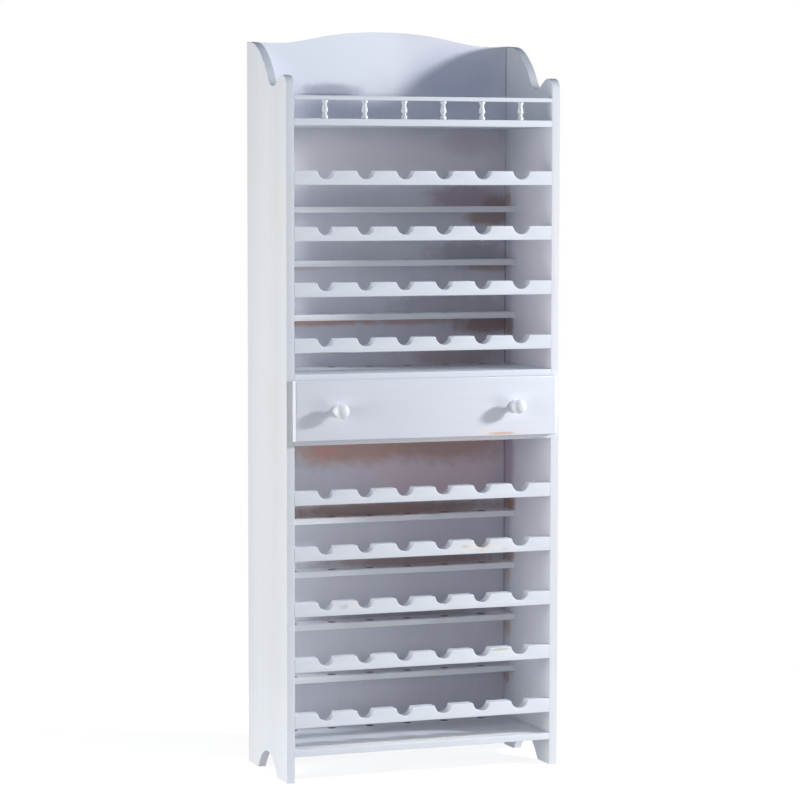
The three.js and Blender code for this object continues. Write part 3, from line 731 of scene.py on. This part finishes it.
def new_piece(name: str, shape: bmesh.types.BMesh, finish: bpy.types.Material) -> bpy.types.Object:
    """Turns a shape into an object of the scene.

    Args:
        name: the object's name.
        shape: its faces; freed here.
        finish: its material.

    Returns:
        The object, at the origin.
    """
    mesh = bpy.data.meshes.new(name)
    shape.to_mesh(mesh)
    shape.free()
    piece = bpy.data.objects.new(name, mesh)
    bpy.context.scene.collection.objects.link(piece)
    piece.data.materials.append(finish)
    return piece


def smooth_over(piece: bpy.types.Object, crisp: Crisp) -> None:
    """Shades a piece smooth, but keeps its sharper edges crisp.

    Args:
        piece: the piece.
        crisp: the angle from which an edge counts as sharp.
    """
    mesh = piece.data
    shape = bmesh.new()
    shape.from_mesh(mesh)
    limit = math.radians(crisp.value)
    for edge in shape.edges:
        edge.smooth = len(edge.link_faces) == 2 and edge.calc_face_angle(0.0) < limit
    for face in shape.faces:
        face.smooth = True
    shape.to_mesh(mesh)
    shape.free()


def settle(piece: bpy.types.Object, body: Body, slot: Slot, *nodes: str) -> None:
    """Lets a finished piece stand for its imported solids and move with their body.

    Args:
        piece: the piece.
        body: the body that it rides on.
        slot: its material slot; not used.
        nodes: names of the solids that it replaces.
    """
    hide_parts(*nodes)
    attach(piece, body.value)
    LOG.info("%s: %d faces", piece.name, len(piece.data.polygons))


def recoat(node: str, finish: bpy.types.Material) -> None:
    """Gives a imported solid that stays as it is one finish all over.

    Args:
        node: the solid's name.
        finish: its new material.
    """
    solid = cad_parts[node]
    solid.data.materials.clear()
    solid.data.materials.append(finish)
    LOG.info("%s: packed solid in %s", node, finish.name)


def mark_faces(shape: bmesh.types.BMesh, faces: list[bmesh.types.BMFace], name: str) -> None:
    """Marks some faces with an attribute that the paint reads.

    Args:
        shape: the shape.
        faces: those of its faces that get 1; the others get 0.
        name: the attribute.
    """
    shape.faces.index_update()
    numbers = {face.index for face in faces}
    mark = shape.faces.layers.float.new(name)
    for face in shape.faces:
        face[mark] = float(face.index in numbers)


def on_plane(first: Vector, second: Vector, axis: int, value: float, slack: float = 0.05 * MM) -> bool:
    """Whether both ends of an edge lie on a plane.

    Args:
        first: one end.
        second: the other end.
        axis: the axis across the plane.
        value: the plane's place on that axis.
        slack: how far off it an end may be.

    Returns:
        True if both ends do.
    """
    return abs(first[axis] - value) < slack and abs(second[axis] - value) < slack


@dataclass
class EasedBoards:
    """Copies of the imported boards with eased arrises."""

    width: float
    segments: int = 3
    fullness: float = 0.6
    sharp_over: float = math.radians(Crisp.BOARD.value)
    weld_within: float = 0.02 * MM
    flat_within: float = math.radians(0.5)
    level_over: float = 0.9
    margin: float = 0.5 * MM

    def copy(self, node: str, pick: Pick) -> bmesh.types.BMesh:
        """Merges a solid into clean faces and eases its sharp outer arrises.

        Args:
            node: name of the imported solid.
            pick: says from an edge's two ends if it is eased.

        Returns:
            The new shape, with a mark on the eased faces.
        """
        shape = bmesh.new()
        shape.from_mesh(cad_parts[node].data)
        bmesh.ops.remove_doubles(shape, verts=shape.verts[:], dist=self.weld_within)
        bmesh.ops.dissolve_limit(
            shape, angle_limit=self.flat_within, verts=shape.verts[:], edges=shape.edges[:],
            delimit={"NORMAL"},
        )
        edges = []
        for edge in shape.edges:
            if len(edge.link_faces) != 2 or not edge.is_convex or edge.calc_face_angle(0.0) < self.sharp_over:
                continue
            first, second = (v.co for v in edge.verts)
            if pick(first, second):
                edges.append(edge)
        made = bmesh.ops.bevel(
            shape, geom=edges, offset=self.width, offset_type="OFFSET", segments=self.segments,
            profile=self.fullness, affect="EDGES", clamp_overlap=False, miter_outer="ARC",
        )
        mark_faces(shape, made["faces"], ARRIS)
        return shape

    def copy_sunk(self, node: str, pick: Pick) -> bmesh.types.BMesh:
        """Does the same for a flat board, and marks the floors and walls of the sinkings in its top.

        Args:
            node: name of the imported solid.
            pick: says from an edge's two ends if it is eased.

        Returns:
            The new shape, with both marks.
        """
        shape = self.copy(node, pick)
        low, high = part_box(node)
        rim = self.width + self.margin
        shape.faces.index_update()
        numbers = set()
        for face in shape.faces:
            height = face.calc_center_median().z
            if face.normal.z > self.level_over and low.z + rim < height < high.z - rim:
                numbers |= {other.index for side in face.edges for other in side.link_faces}
        mark_faces(shape, [face for face in shape.faces if face.index in numbers], SINKING)
        return shape


@dataclass
class Carcass:
    """Sides, back and shelves.

    Each side's inner face keeps its rebate and housings sharp: its arrises are eased only along the front,
    over scroll_from and under arch_to. The back's are eased only on its crest, from crest_drop below the
    tops of the sides.
    """

    finishes: Finishes
    side_ease: float = 1.4 * MM
    back_ease: float = 1.2 * MM
    shelf_ease: float = 1.5 * MM
    scroll_from: float = 1.64
    arch_to: float = 0.056
    crest_drop: float = 40 * MM
    front_slack: float = 0.5 * MM
    edge_slack: float = 1 * MM
    shelves: tuple[str, ...] = ("top_shelf", "shelf_over_drawer", "shelf_under_drawer", "bottom_shelf")

    def dress(self, node: str, shape: bmesh.types.BMesh, finish: bpy.types.Material, slot: Slot) -> None:
        """Replaces one packed board by its eased copy.

        Args:
            node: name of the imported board.
            shape: the eased copy.
            finish: its material.
            slot: its material slot.
        """
        piece = new_piece(f"painted_{node}", shape, finish)
        smooth_over(piece, Crisp.BOARD)
        settle(piece, Body.CARCASS, slot, node)

    def side(self, hand: str) -> None:
        """Builds one side.

        Args:
            hand: left or right.
        """
        node = f"side_panel_{hand}"
        low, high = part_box(node)
        outer, inner = (low.x, high.x) if hand == "left" else (high.x, low.x)

        def outline(first: Vector, second: Vector) -> bool:
            """Picks the outer face's arrises, and the inner face's along the front, scroll and arch.

            Args:
                first: one end of an edge.
                second: its other end.

            Returns:
                True if the edge is one of these arrises.
            """
            if on_plane(first, second, 0, outer):
                return True
            if not on_plane(first, second, 0, inner):
                return False
            middle = (first + second) / 2
            in_front = middle.y < FRONT + self.front_slack
            return in_front or middle.z > self.scroll_from or middle.z < self.arch_to

        self.dress(node, EasedBoards(self.side_ease).copy(node, outline), self.finishes.side, Slot.SIDE)

    def back(self) -> None:
        """Builds the back panel."""
        node = "back_panel"
        crest_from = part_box("side_panel_left")[1].z - self.crest_drop
        half_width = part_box(node)[1].x - self.edge_slack

        def crest(first: Vector, second: Vector) -> bool:
            """Arrises of the crest, without those of the panel's two edges."""
            return min(first.z, second.z) > crest_from and abs(first.x) < half_width

        self.dress(node, EasedBoards(self.back_ease).copy(node, crest), self.finishes.back, Slot.BACK)

    def shelf(self, node: str) -> None:
        """Builds one shelf.

        Args:
            node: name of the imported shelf.
        """

        def front_edge(first: Vector, second: Vector) -> bool:
            """The two long arrises of the front edge."""
            return on_plane(first, second, 1, FRONT) and abs(first.z - second.z) < self.edge_slack

        shape = EasedBoards(self.shelf_ease).copy_sunk(node, front_edge)
        self.dress(node, shape, self.finishes.shelf, Slot.SHELF)

    def build(self) -> None:
        """Builds every board of the carcass."""
        for hand in HANDS:
            self.side(hand)
        self.back()
        for node in self.shelves:
            self.shelf(node)


@dataclass
class Rails:
    """Front and rear bottle rails, set out in the bay over the drawer and the bay under it.

    The lowest rack of each bay has no rear rail, as the shelf under it carries the bottles there.
    """

    finishes: Finishes
    rows: RowTree
    fronts: tuple[tuple[int, ...], ...] = ((1, 2, 3, 4), (5, 6, 7, 8, 9))
    rears: tuple[tuple[int, ...], ...] = ((1, 2, 3), (5, 6, 7, 8))
    front_ease: float = 2.6 * MM
    rear_ease: float = 1.2 * MM
    tenon: float = 9 * MM
    shortest_arris: float = 0.2 * MM
    seed: int = 3

    def long_arrises(self, node: str) -> Pick:
        """Picks the arrises along a rail's front and rear faces, clear of its tenons.

        Args:
            node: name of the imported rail.

        Returns:
            What says from an edge's two ends if it is one of them.
        """
        low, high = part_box(node)
        reach = high.x - self.tenon

        def pick(first: Vector, second: Vector) -> bool:
            """Picks these arrises.

            Args:
                first: one end of an edge.
                second: its other end.

            Returns:
                True if the edge is one of them.
            """
            on_face = on_plane(first, second, 1, low.y) or on_plane(first, second, 1, high.y)
            clear = abs(first.x + second.x) / 2 < reach
            return on_face and clear and abs(first.x - second.x) > self.shortest_arris

        return pick

    def stack(self, piece: bpy.types.Object, finish: bpy.types.Material, bays: list[list[str]]) -> None:
        """Makes all rails of one kind from the top one.

        Args:
            piece: the top rail.
            finish: the paint.
            bays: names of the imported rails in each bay, from the top down.
        """
        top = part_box(bays[0][0])[0].z
        rows = []
        for bay in bays:
            heights = [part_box(node)[0].z for node in bay]
            step = (heights[-1] - heights[0]) / (len(heights) - 1)
            rows.append(Row(len(heights), (0.0, 0.0, heights[0] - top), (0.0, 0.0, step)))
        self.rows.lay_out(piece, finish, self.seed, ZERO, tuple(rows))
        smooth_over(piece, Crisp.BOARD)
        settle(piece, Body.CARCASS, Slot.RAIL, *(node for bay in bays for node in bay))

    def build(self) -> None:
        """Builds the front rails and the rear rails."""
        bays = [[f"bottle_rail_front_{i}" for i in numbers] for numbers in self.fronts]
        shape = EasedBoards(self.front_ease).copy(bays[0][0], self.long_arrises(bays[0][0]))
        self.stack(new_piece("front_bottle_rails", shape, self.finishes.rail), self.finishes.rail, bays)
        bays = [[f"bottle_rail_rear_{i}" for i in numbers] for numbers in self.rears]
        shape = EasedBoards(self.rear_ease).copy_sunk(bays[0][0], self.long_arrises(bays[0][0]))
        self.stack(new_piece("rear_bottle_rails", shape, self.finishes.rear), self.finishes.rear, bays)


def turned_shape(profile: Profile, sides: int, pole: float = 0.001 * MM) -> bmesh.types.BMesh:
    """Spins a profile about Z.

    Args:
        profile: radius and height of each ring, from the bottom pole to the top pole, in metres.
        sides: faces round the axis.
        pole: radius under which a ring is a single point.

    Returns:
        A shape with its faces outwards, closed where the profile ends in a pole.
    """
    shape = bmesh.new()
    rings = []
    for radius, height in profile:
        if radius < pole:
            rings.append([shape.verts.new((0.0, 0.0, height))])
            continue
        turns = (2 * math.pi * i / sides for i in range(sides))
        rings.append([shape.verts.new((radius * math.cos(a), radius * math.sin(a), height)) for a in turns])
    for lower, upper in zip(rings, rings[1:]):
        for i in range(sides):
            j = (i + 1) % sides
            below = [lower[i % len(lower)], lower[j % len(lower)]]
            above = [upper[j % len(upper)], upper[i % len(upper)]]
            shape.faces.new(list(dict.fromkeys(below + above)))
    bmesh.ops.recalc_face_normals(shape, faces=shape.faces[:])
    return shape


def between(before: float, first: float, second: float, after: float, share: float) -> float:
    """A value on the smooth line through four even steps, between the middle two.

    Args:
        before: the value before them.
        first: the value at share 0.
        second: the value at share 1.
        after: the value after them.
        share: how far along from the first to the second.

    Returns:
        The value there.
    """
    slope = second - before
    bend = 2 * before - 5 * first + 4 * second - after
    twist = 3 * first - before - 3 * second + after
    return 0.5 * (2 * first + slope * share + bend * share * share + twist * share ** 3)


def smooth_profile(points: Profile, steps: int = 3) -> Profile:
    """Rounds a turned profile off between its given points.

    Args:
        points: radius and height pairs.
        steps: pieces that each span is cut into.

    Returns:
        More points, on a smooth line through the given ones.
    """
    out: Profile = []
    last = len(points) - 1
    for i in range(last):
        around = [points[min(max(k, 0), last)] for k in (i - 1, i, i + 1, i + 2)]
        for s in range(steps):
            radius, height = (between(*values, s / steps) for values in zip(*around))
            out.append((max(radius, 0.0), height))
    out.append(points[-1])
    return out


def spindle_profile() -> Profile:
    """Radius and height of a gallery spindle, as shares of its own, from foot to head."""
    return [
        (0.92, 0.0), (0.97, 0.05), (0.94, 0.13), (0.76, 0.19), (0.6, 0.25), (0.64, 0.31), (0.9, 0.38),
        (0.99, 0.43), (0.93, 0.51), (0.74, 0.66), (0.6, 0.79), (0.68, 0.84), (0.93, 0.89), (0.97, 0.94),
        (0.92, 1.0),
    ]


def knob_profile() -> Profile:
    """Radius and height of a knob, as shares of its own, from the drawer outwards."""
    return [
        (0.80, 0.0), (0.83, 0.04), (0.80, 0.09), (0.6, 0.14), (0.45, 0.2), (0.4, 0.27), (0.41, 0.36),
        (0.55, 0.44), (0.82, 0.5), (0.96, 0.56), (1.0, 0.64), (0.98, 0.73), (0.88, 0.84), (0.66, 0.93),
        (0.38, 0.985), (0.14, 1.0),
    ]


@dataclass
class Gallery:
    """The rail on the top shelf and its turned spindles."""

    finishes: Finishes
    rows: RowTree
    profile: Profile = field(default_factory=spindle_profile)
    count: int = 6
    sides: int = 32
    rail_ease: float = 1.6 * MM
    shortest_arris: float = 0.3
    slack: float = 0.1 * MM
    gap: float = 0.3 * MM
    pin_length: float = 4.5 * MM
    pin_ratio: float = 3.0
    seed: int = 5
    turn: Triple = (0.0, 0.0, 0.6)

    def rail(self) -> None:
        """Builds the thin rail."""
        node = "gallery_rail"
        low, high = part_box(node)

        def long_arris(first: Vector, second: Vector) -> bool:
            """Arrises that run the whole length of the front and rear faces."""
            on_face = abs(first.y - low.y) < self.slack or abs(first.y - high.y) < self.slack
            return on_face and abs(first.x - second.x) > self.shortest_arris

        shape = EasedBoards(self.rail_ease).copy(node, long_arris)
        piece = new_piece("gallery_rail_painted", shape, self.finishes.rail)
        smooth_over(piece, Crisp.BOARD)
        settle(piece, Body.CARCASS, Slot.RAIL, node)

    def spindles(self) -> None:
        """Turns one spindle, with a pin at each end, and sets out the row."""
        nodes = [f"gallery_spindle_{i}" for i in range(1, self.count + 1)]
        low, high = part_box(nodes[0])
        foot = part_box("top_shelf")[1].z
        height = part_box("gallery_rail")[0].z - foot - 2 * self.gap
        radius = (high.x - low.x) / 2
        pin = radius / self.pin_ratio
        below = -self.pin_length
        head = self.gap + height
        above = head + self.pin_length
        rings = [
            (0.0, below), (pin, below), (pin, self.gap),
            *((r * radius, self.gap + h * height) for r, h in smooth_profile(self.profile)),
            (pin, head), (pin, above), (0.0, above),
        ]
        piece = new_piece("gallery_spindles", turned_shape(rings, self.sides), self.finishes.turned)
        first, last = centre_of(nodes[0]), centre_of(nodes[-1])
        step = (last.x - first.x) / (self.count - 1)
        row = Row(self.count, (first.x, first.y, foot), (step, 0.0, 0.0))
        self.rows.lay_out(piece, self.finishes.turned, self.seed, self.turn, (row, NO_ROW))
        smooth_over(piece, Crisp.TURNED)
        settle(piece, Body.CARCASS, Slot.TURNED, *nodes)

    def build(self) -> None:
        """Builds the rail and the row of spindles."""
        self.rail()
        self.spindles()


@dataclass
class Drawer:
    """Drawer front, box and knobs, all riding on the drawer."""

    finishes: Finishes
    profile: Profile = field(default_factory=knob_profile)
    knob_sides: int = 48
    front_round: float = 4.0 * MM
    front_segments: int = 7
    front_fullness: float = 0.5
    box_ease: float = 0.8 * MM
    box_segments: int = 2
    shortest_arris: float = 0.1

    def front(self) -> None:
        """Builds the front board with its rounded front edges."""
        node = "drawer_front"
        low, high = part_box(node)
        shape = bmesh.new()
        bmesh.ops.create_cube(shape, size=1.0)
        place = Matrix.Translation(centre_of(node)) @ Matrix.Diagonal((*(high - low), 1.0))
        bmesh.ops.transform(shape, matrix=place, verts=shape.verts)
        edges = [e for e in shape.edges if on_plane(e.verts[0].co, e.verts[1].co, 1, low.y)]
        made = bmesh.ops.bevel(
            shape, geom=edges, offset=self.front_round, segments=self.front_segments,
            profile=self.front_fullness, affect="EDGES",
        )
        mark_faces(shape, made["faces"], ARRIS)
        piece = new_piece("drawer_front_board", shape, self.finishes.drawer)
        smooth_over(piece, Crisp.DRAWER_FRONT)
        settle(piece, Body.DRAWER, Slot.DRAWER, node)

    def board(self, node: str, finish: bpy.types.Material) -> None:
        """Builds one board of the box from its solid, with its top arrises eased.

        Args:
            node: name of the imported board.
            finish: its material.
        """
        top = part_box(node)[1].z

        def top_arris(first: Vector, second: Vector) -> bool:
            """The long arrises of the top edge."""
            return on_plane(first, second, 2, top) and (first - second).length > self.shortest_arris

        shape = EasedBoards(self.box_ease, self.box_segments).copy(node, top_arris)
        piece = new_piece(f"{node}_bare", shape, finish)
        smooth_over(piece, Crisp.BOARD)
        settle(piece, Body.DRAWER, Slot.PINE, node)

    def box(self) -> None:
        """Builds the sides and the back, and gives the bottom and the runners their bare finishes."""
        for hand in HANDS:
            self.board(f"drawer_side_{hand}", self.finishes.box_side)
        self.board("drawer_back", self.finishes.box_cross)
        recoat("drawer_bottom", self.finishes.board)
        for hand in HANDS:
            recoat(f"drawer_runner_{hand}", self.finishes.box_side)

    def knob(self, hand: str) -> None:
        """Turns one knob.

        Args:
            hand: left or right.
        """
        node = f"knob_{hand}"
        low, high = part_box(node)
        centre = centre_of(node)
        length = high.y - low.y
        radius = (high.x - low.x) / 2
        outline = ((r * radius, h * length) for r, h in smooth_profile(self.profile))
        shape = turned_shape([(0.0, 0.0), *outline, (0.0, length)], self.knob_sides)
        place = Matrix.Translation((centre.x, high.y, centre.z)) @ Matrix.Rotation(math.pi / 2, 4, "X")
        bmesh.ops.transform(shape, matrix=place, verts=shape.verts)
        piece = new_piece(f"turned_knob_{hand}", shape, self.finishes.turned)
        smooth_over(piece, Crisp.TURNED)
        settle(piece, Body.DRAWER, Slot.TURNED, node)

    def build(self) -> None:
        """Builds the whole drawer."""
        self.front()
        self.box()
        for hand in HANDS:
            self.knob(hand)


@dataclass
class Screws:
    """Countersunk screws with a cross recess, behind and inside the cabinet."""

    finishes: Finishes
    rows: RowTree
    per_side: int = 4
    sides: int = 24
    head_height: float = 2.4 * MM
    head_edge: float = 0.2 * MM
    flat_share: float = 0.96
    rim_share: float = 0.74
    recess_arm: float = 0.62
    recess_width: float = 0.2
    recess_depth: float = 1.3 * MM
    recess_taper: float = 0.7
    seed: int = 11
    turn: Triple = (0.0, 0.7, 0.0)

    def recess(self, head: float) -> list[Vector]:
        """The outline of the cross recess.

        Args:
            head: radius of the head.

        Returns:
            Its corners on Z = 0, all the way round.
        """
        arm = head * self.recess_arm
        half = head * self.recess_width / 2
        corners = []
        for i in range(4):
            turn = Matrix.Rotation(math.pi / 2 * i, 3, "Z")
            corners += [turn @ Vector(p) for p in ((arm, -half, 0.0), (arm, half, 0.0), (half, half, 0.0))]
        return corners

    def shape(self, head: float, length: float) -> bmesh.types.BMesh:
        """A screw with its head on Z = 0 and its point at Z = -length.

        Args:
            head: radius of the head.
            length: whole length.

        Returns:
            The shape.
        """
        shank = head / 2
        profile = [
            (0.0, -length), (shank, -length + shank), (shank, -self.head_height), (head, -self.head_edge),
            (head * self.flat_share, 0.0), (head * self.rim_share, 0.0),
        ]
        shape = turned_shape(profile, self.sides)
        inside = head * (self.flat_share + self.rim_share) / 2
        rim = [v for v in shape.verts if v.co.z == 0.0 and v.co.xy.length < inside]
        corners = self.recess(head)
        upper = [shape.verts.new(p) for p in corners]
        taper = self.recess_taper
        lower = [shape.verts.new((p.x * taper, p.y * taper, -self.recess_depth)) for p in corners]
        for i in range(len(corners)):
            j = (i + 1) % len(corners)
            shape.faces.new((upper[j], upper[i], lower[i], lower[j]))
        shape.faces.new(lower)
        loops = [e for e in shape.edges if all(v in rim for v in e.verts) or all(v in upper for v in e.verts)]
        bmesh.ops.bridge_loops(shape, edges=loops)
        bmesh.ops.recalc_face_normals(shape, faces=shape.faces[:])
        return shape

    def back_screws(self) -> None:
        """Puts the screws that hold the back into two columns."""
        nodes = {hand: [f"back_screw_{hand}_{i}" for i in range(1, self.per_side + 1)] for hand in HANDS}
        low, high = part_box(nodes["left"][0])
        shape = self.shape((high.x - low.x) / 2, high.y - low.y)
        bmesh.ops.transform(shape, matrix=Matrix.Rotation(-math.pi / 2, 4, "X"), verts=shape.verts)
        piece = new_piece("back_screws", shape, self.finishes.steel)
        rows = []
        for names in nodes.values():
            first, last = centre_of(names[0]), centre_of(names[-1])
            step = (last.z - first.z) / (self.per_side - 1)
            rows.append(Row(self.per_side, (first.x, high.y, first.z), (0.0, 0.0, step)))
        self.rows.lay_out(piece, self.finishes.steel, self.seed, self.turn, tuple(rows))
        smooth_over(piece, Crisp.SCREW)
        settle(piece, Body.CARCASS, Slot.STEEL, *(name for names in nodes.values() for name in names))

    def build(self) -> None:
        """Builds the screws of the back and gives the others their finish."""
        self.back_screws()
        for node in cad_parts:
            if "screw" in node and not node.startswith("back_screw"):
                recoat(node, self.finishes.steel)


@dataclass(frozen=True)
class Lamp:
    """A soft square lamp."""

    name: str
    place: Triple
    target: Triple
    size: float
    watts: float
    colour: Colour

    def build(self) -> bpy.types.Object:
        """Makes the lamp.

        Returns:
            The lamp's object.
        """
        light = bpy.data.lights.new(self.name, "AREA")
        light.shape = "SQUARE"
        light.size = self.size
        light.energy = self.watts
        light.color = self.colour
        lamp = bpy.data.objects.new(self.name, light)
        lamp.location = self.place
        ray = Vector(self.target) - Vector(self.place)
        lamp.rotation_euler = ray.to_track_quat("-Z", "Y").to_euler()
        bpy.context.scene.collection.objects.link(lamp)
        return lamp


class Studio:
    """Camera, lamps, world and floor."""

    YAW = math.radians(20.635)
    PITCH = math.radians(4.184)
    ROLL = math.radians(0.057)
    PLACE = at_front(-2539.5, -6574.3, 1423.8)
    LENS = 132.47
    SENSOR = 36.0
    FAR_END = 100.0
    MIDDLE = at_front(0, 150, 950)
    LEFT_SIDE = at_front(-350, 150, 950)
    LAMPS = (
        Lamp("key", at_front(2760, -1200, 1830), MIDDLE, 0.3, 99.0, (0.98, 0.985, 1.01)),
        Lamp("left", at_front(-3500, 100, 1300), LEFT_SIDE, 2.0, 54.0, (1.035, 1.007, 0.911)),
        Lamp("left_front", at_front(-3300, -1500, 1500), MIDDLE, 2.0, 24.0, (1.05, 1.01, 0.99)),
        Lamp("left_low", at_front(-3300, -600, 500), LEFT_SIDE, 1.5, 30.0, (0.96, 1.015, 1.045)),
        Lamp("right_front", at_front(3000, -4000, 1800), MIDDLE, 2.5, 25.0, (0.95, 1.0, 1.08)),
        Lamp("right_low", at_front(2400, -1500, 250), at_front(0, 150, 800), 1.2, 22.0, (1.0, 1.02, 0.98)),
        Lamp("top", at_front(0, -900, 4200), MIDDLE, 2.0, 14.0, (0.80, 1.0, 1.17)),
        Lamp("rear", at_front(1200, 3800, 1500), at_front(0, 300, 950), 2.5, 60.0, (1.0, 1.0, 1.0)),
    )
    SIDE_KEY = Lamp(
        "side_key", at_front(1900, -2600, 1150), at_front(340, 0, 950), 0.3, 68.0, (1.0, 0.985, 0.96)
    )
    NEAR_LAMPS = ("key", "right_low")
    SKY: Colour = (0.62, 0.72, 1.0)
    SKY_STRENGTH = 0.095
    PURE_WHITE = (1.0, 1.0, 1.0, 1.0)
    FLOOR_GREY = (0.96, 0.96, 0.96, 1.0)
    FLOOR_REACH = 1.7
    FLOOR_SIDES = 96
    FLOOR_FADE: Pair = (0.98, 0.28)
    FLOOR_GLOW = 0.46
    FLOOR_SHARE = 0.45

    def camera(self) -> None:
        """Makes the camera of the photograph."""
        data = bpy.data.cameras.new("camera")
        data.sensor_width = self.SENSOR
        data.lens = self.LENS
        data.clip_end = self.FAR_END
        camera = bpy.data.objects.new("camera", data)
        level = math.cos(self.PITCH)
        aim = Vector((math.sin(self.YAW) * level, math.cos(self.YAW) * level, -math.sin(self.PITCH)))
        roll = Matrix.Rotation(self.ROLL, 4, "Z").to_quaternion()
        camera.location = self.PLACE
        camera.rotation_mode = "QUATERNION"
        camera.rotation_quaternion = aim.to_track_quat("-Z", "Y") @ roll
        bpy.context.scene.collection.objects.link(camera)
        bpy.context.scene.camera = camera

    def world(self) -> None:
        """Makes a background that looks white and lights the cabinet gently."""
        world = bpy.data.worlds.new("studio")
        desk = open_tree(world)
        seen = desk.add("ShaderNodeLightPath").outputs["Is Camera Ray"]
        dim = desk.add("ShaderNodeBackground", {"Color": (*self.SKY, 1.0), "Strength": self.SKY_STRENGTH})
        bright = desk.add("ShaderNodeBackground", {"Color": self.PURE_WHITE, "Strength": 1.0})
        mixed = desk.add("ShaderNodeMixShader", {0: seen, 1: dim.outputs[0], 2: bright.outputs[0]})
        desk.add("ShaderNodeOutputWorld", {"Surface": mixed.outputs[0]})
        bpy.context.scene.world = world

    def floor(self) -> None:
        """Makes the plain pale floor, which fades into the white background round the cabinet."""
        shape = bmesh.new()
        bmesh.ops.create_circle(shape, cap_ends=True, segments=self.FLOOR_SIDES, radius=self.FLOOR_REACH)
        material = bpy.data.materials.new("pale_floor")
        desk = open_tree(material)
        place = desk.add("ShaderNodeTexCoord").outputs["Object"]
        distance = desk.add("ShaderNodeVectorMath", {0: place}, operation="LENGTH").outputs["Value"]
        outer, inner = (self.FLOOR_REACH * share for share in self.FLOOR_FADE)
        solid = desk.ramp(distance, (outer, inner), (0.0, self.FLOOR_SHARE))
        shader = desk.add(
            "ShaderNodeBsdfPrincipled",
            {
                "Base Color": self.FLOOR_GREY, "Roughness": 0.9, "Emission Color": self.PURE_WHITE,
                "Emission Strength": self.FLOOR_GLOW, "Specular IOR Level": 0.0,
            },
        )
        clear = desk.add("ShaderNodeBsdfTransparent")
        mixed = desk.add("ShaderNodeMixShader", {0: solid, 1: clear.outputs[0], 2: shader.outputs["BSDF"]})
        desk.add("ShaderNodeOutputMaterial", {"Surface": mixed.outputs[0]})
        floor = new_piece("floor", shape, material)

    def share_out(self, board: bpy.types.Object) -> None:
        """Lights the right side board by a lamp of its own, as the near lamps would burn its outer face out.

        Args:
            board: the right side board, which still throws its shadow in the light of those lamps.
        """
        near = [(bpy.data.objects[name], "EXCLUDE") for name in self.NEAR_LAMPS]
        for lamp, state in (*near, (self.SIDE_KEY.build(), "INCLUDE")):
            group = bpy.data.collections.new(f"{lamp.name}_light")
            group.objects.link(board)
            group.collection_objects[0].light_linking.link_state = state
            lamp.light_linking.receiver_collection = group

    def build(self) -> None:
        """Sets up the whole studio, apart from the lamp of the right side board."""
        self.camera()
        for lamp in self.LAMPS:
            lamp.build()
        self.world()
        self.floor()
        bpy.context.scene.view_settings.view_transform = "Standard"


def main() -> None:
    """Builds the studio and the cabinet."""
    logging.basicConfig(level=logging.INFO, format="%(message)s")
    studio = Studio()
    studio.build()
    finishes = Finishes()
    rows = RowTree("set_out_in_rows")
    Carcass(finishes).build()
    studio.share_out(bpy.data.objects["painted_side_panel_right"])
    Rails(finishes, rows).build()
    Gallery(finishes, rows).build()
    Drawer(finishes).build()
    Screws(finishes, rows).build()


if __name__ == "__main__":
    main()
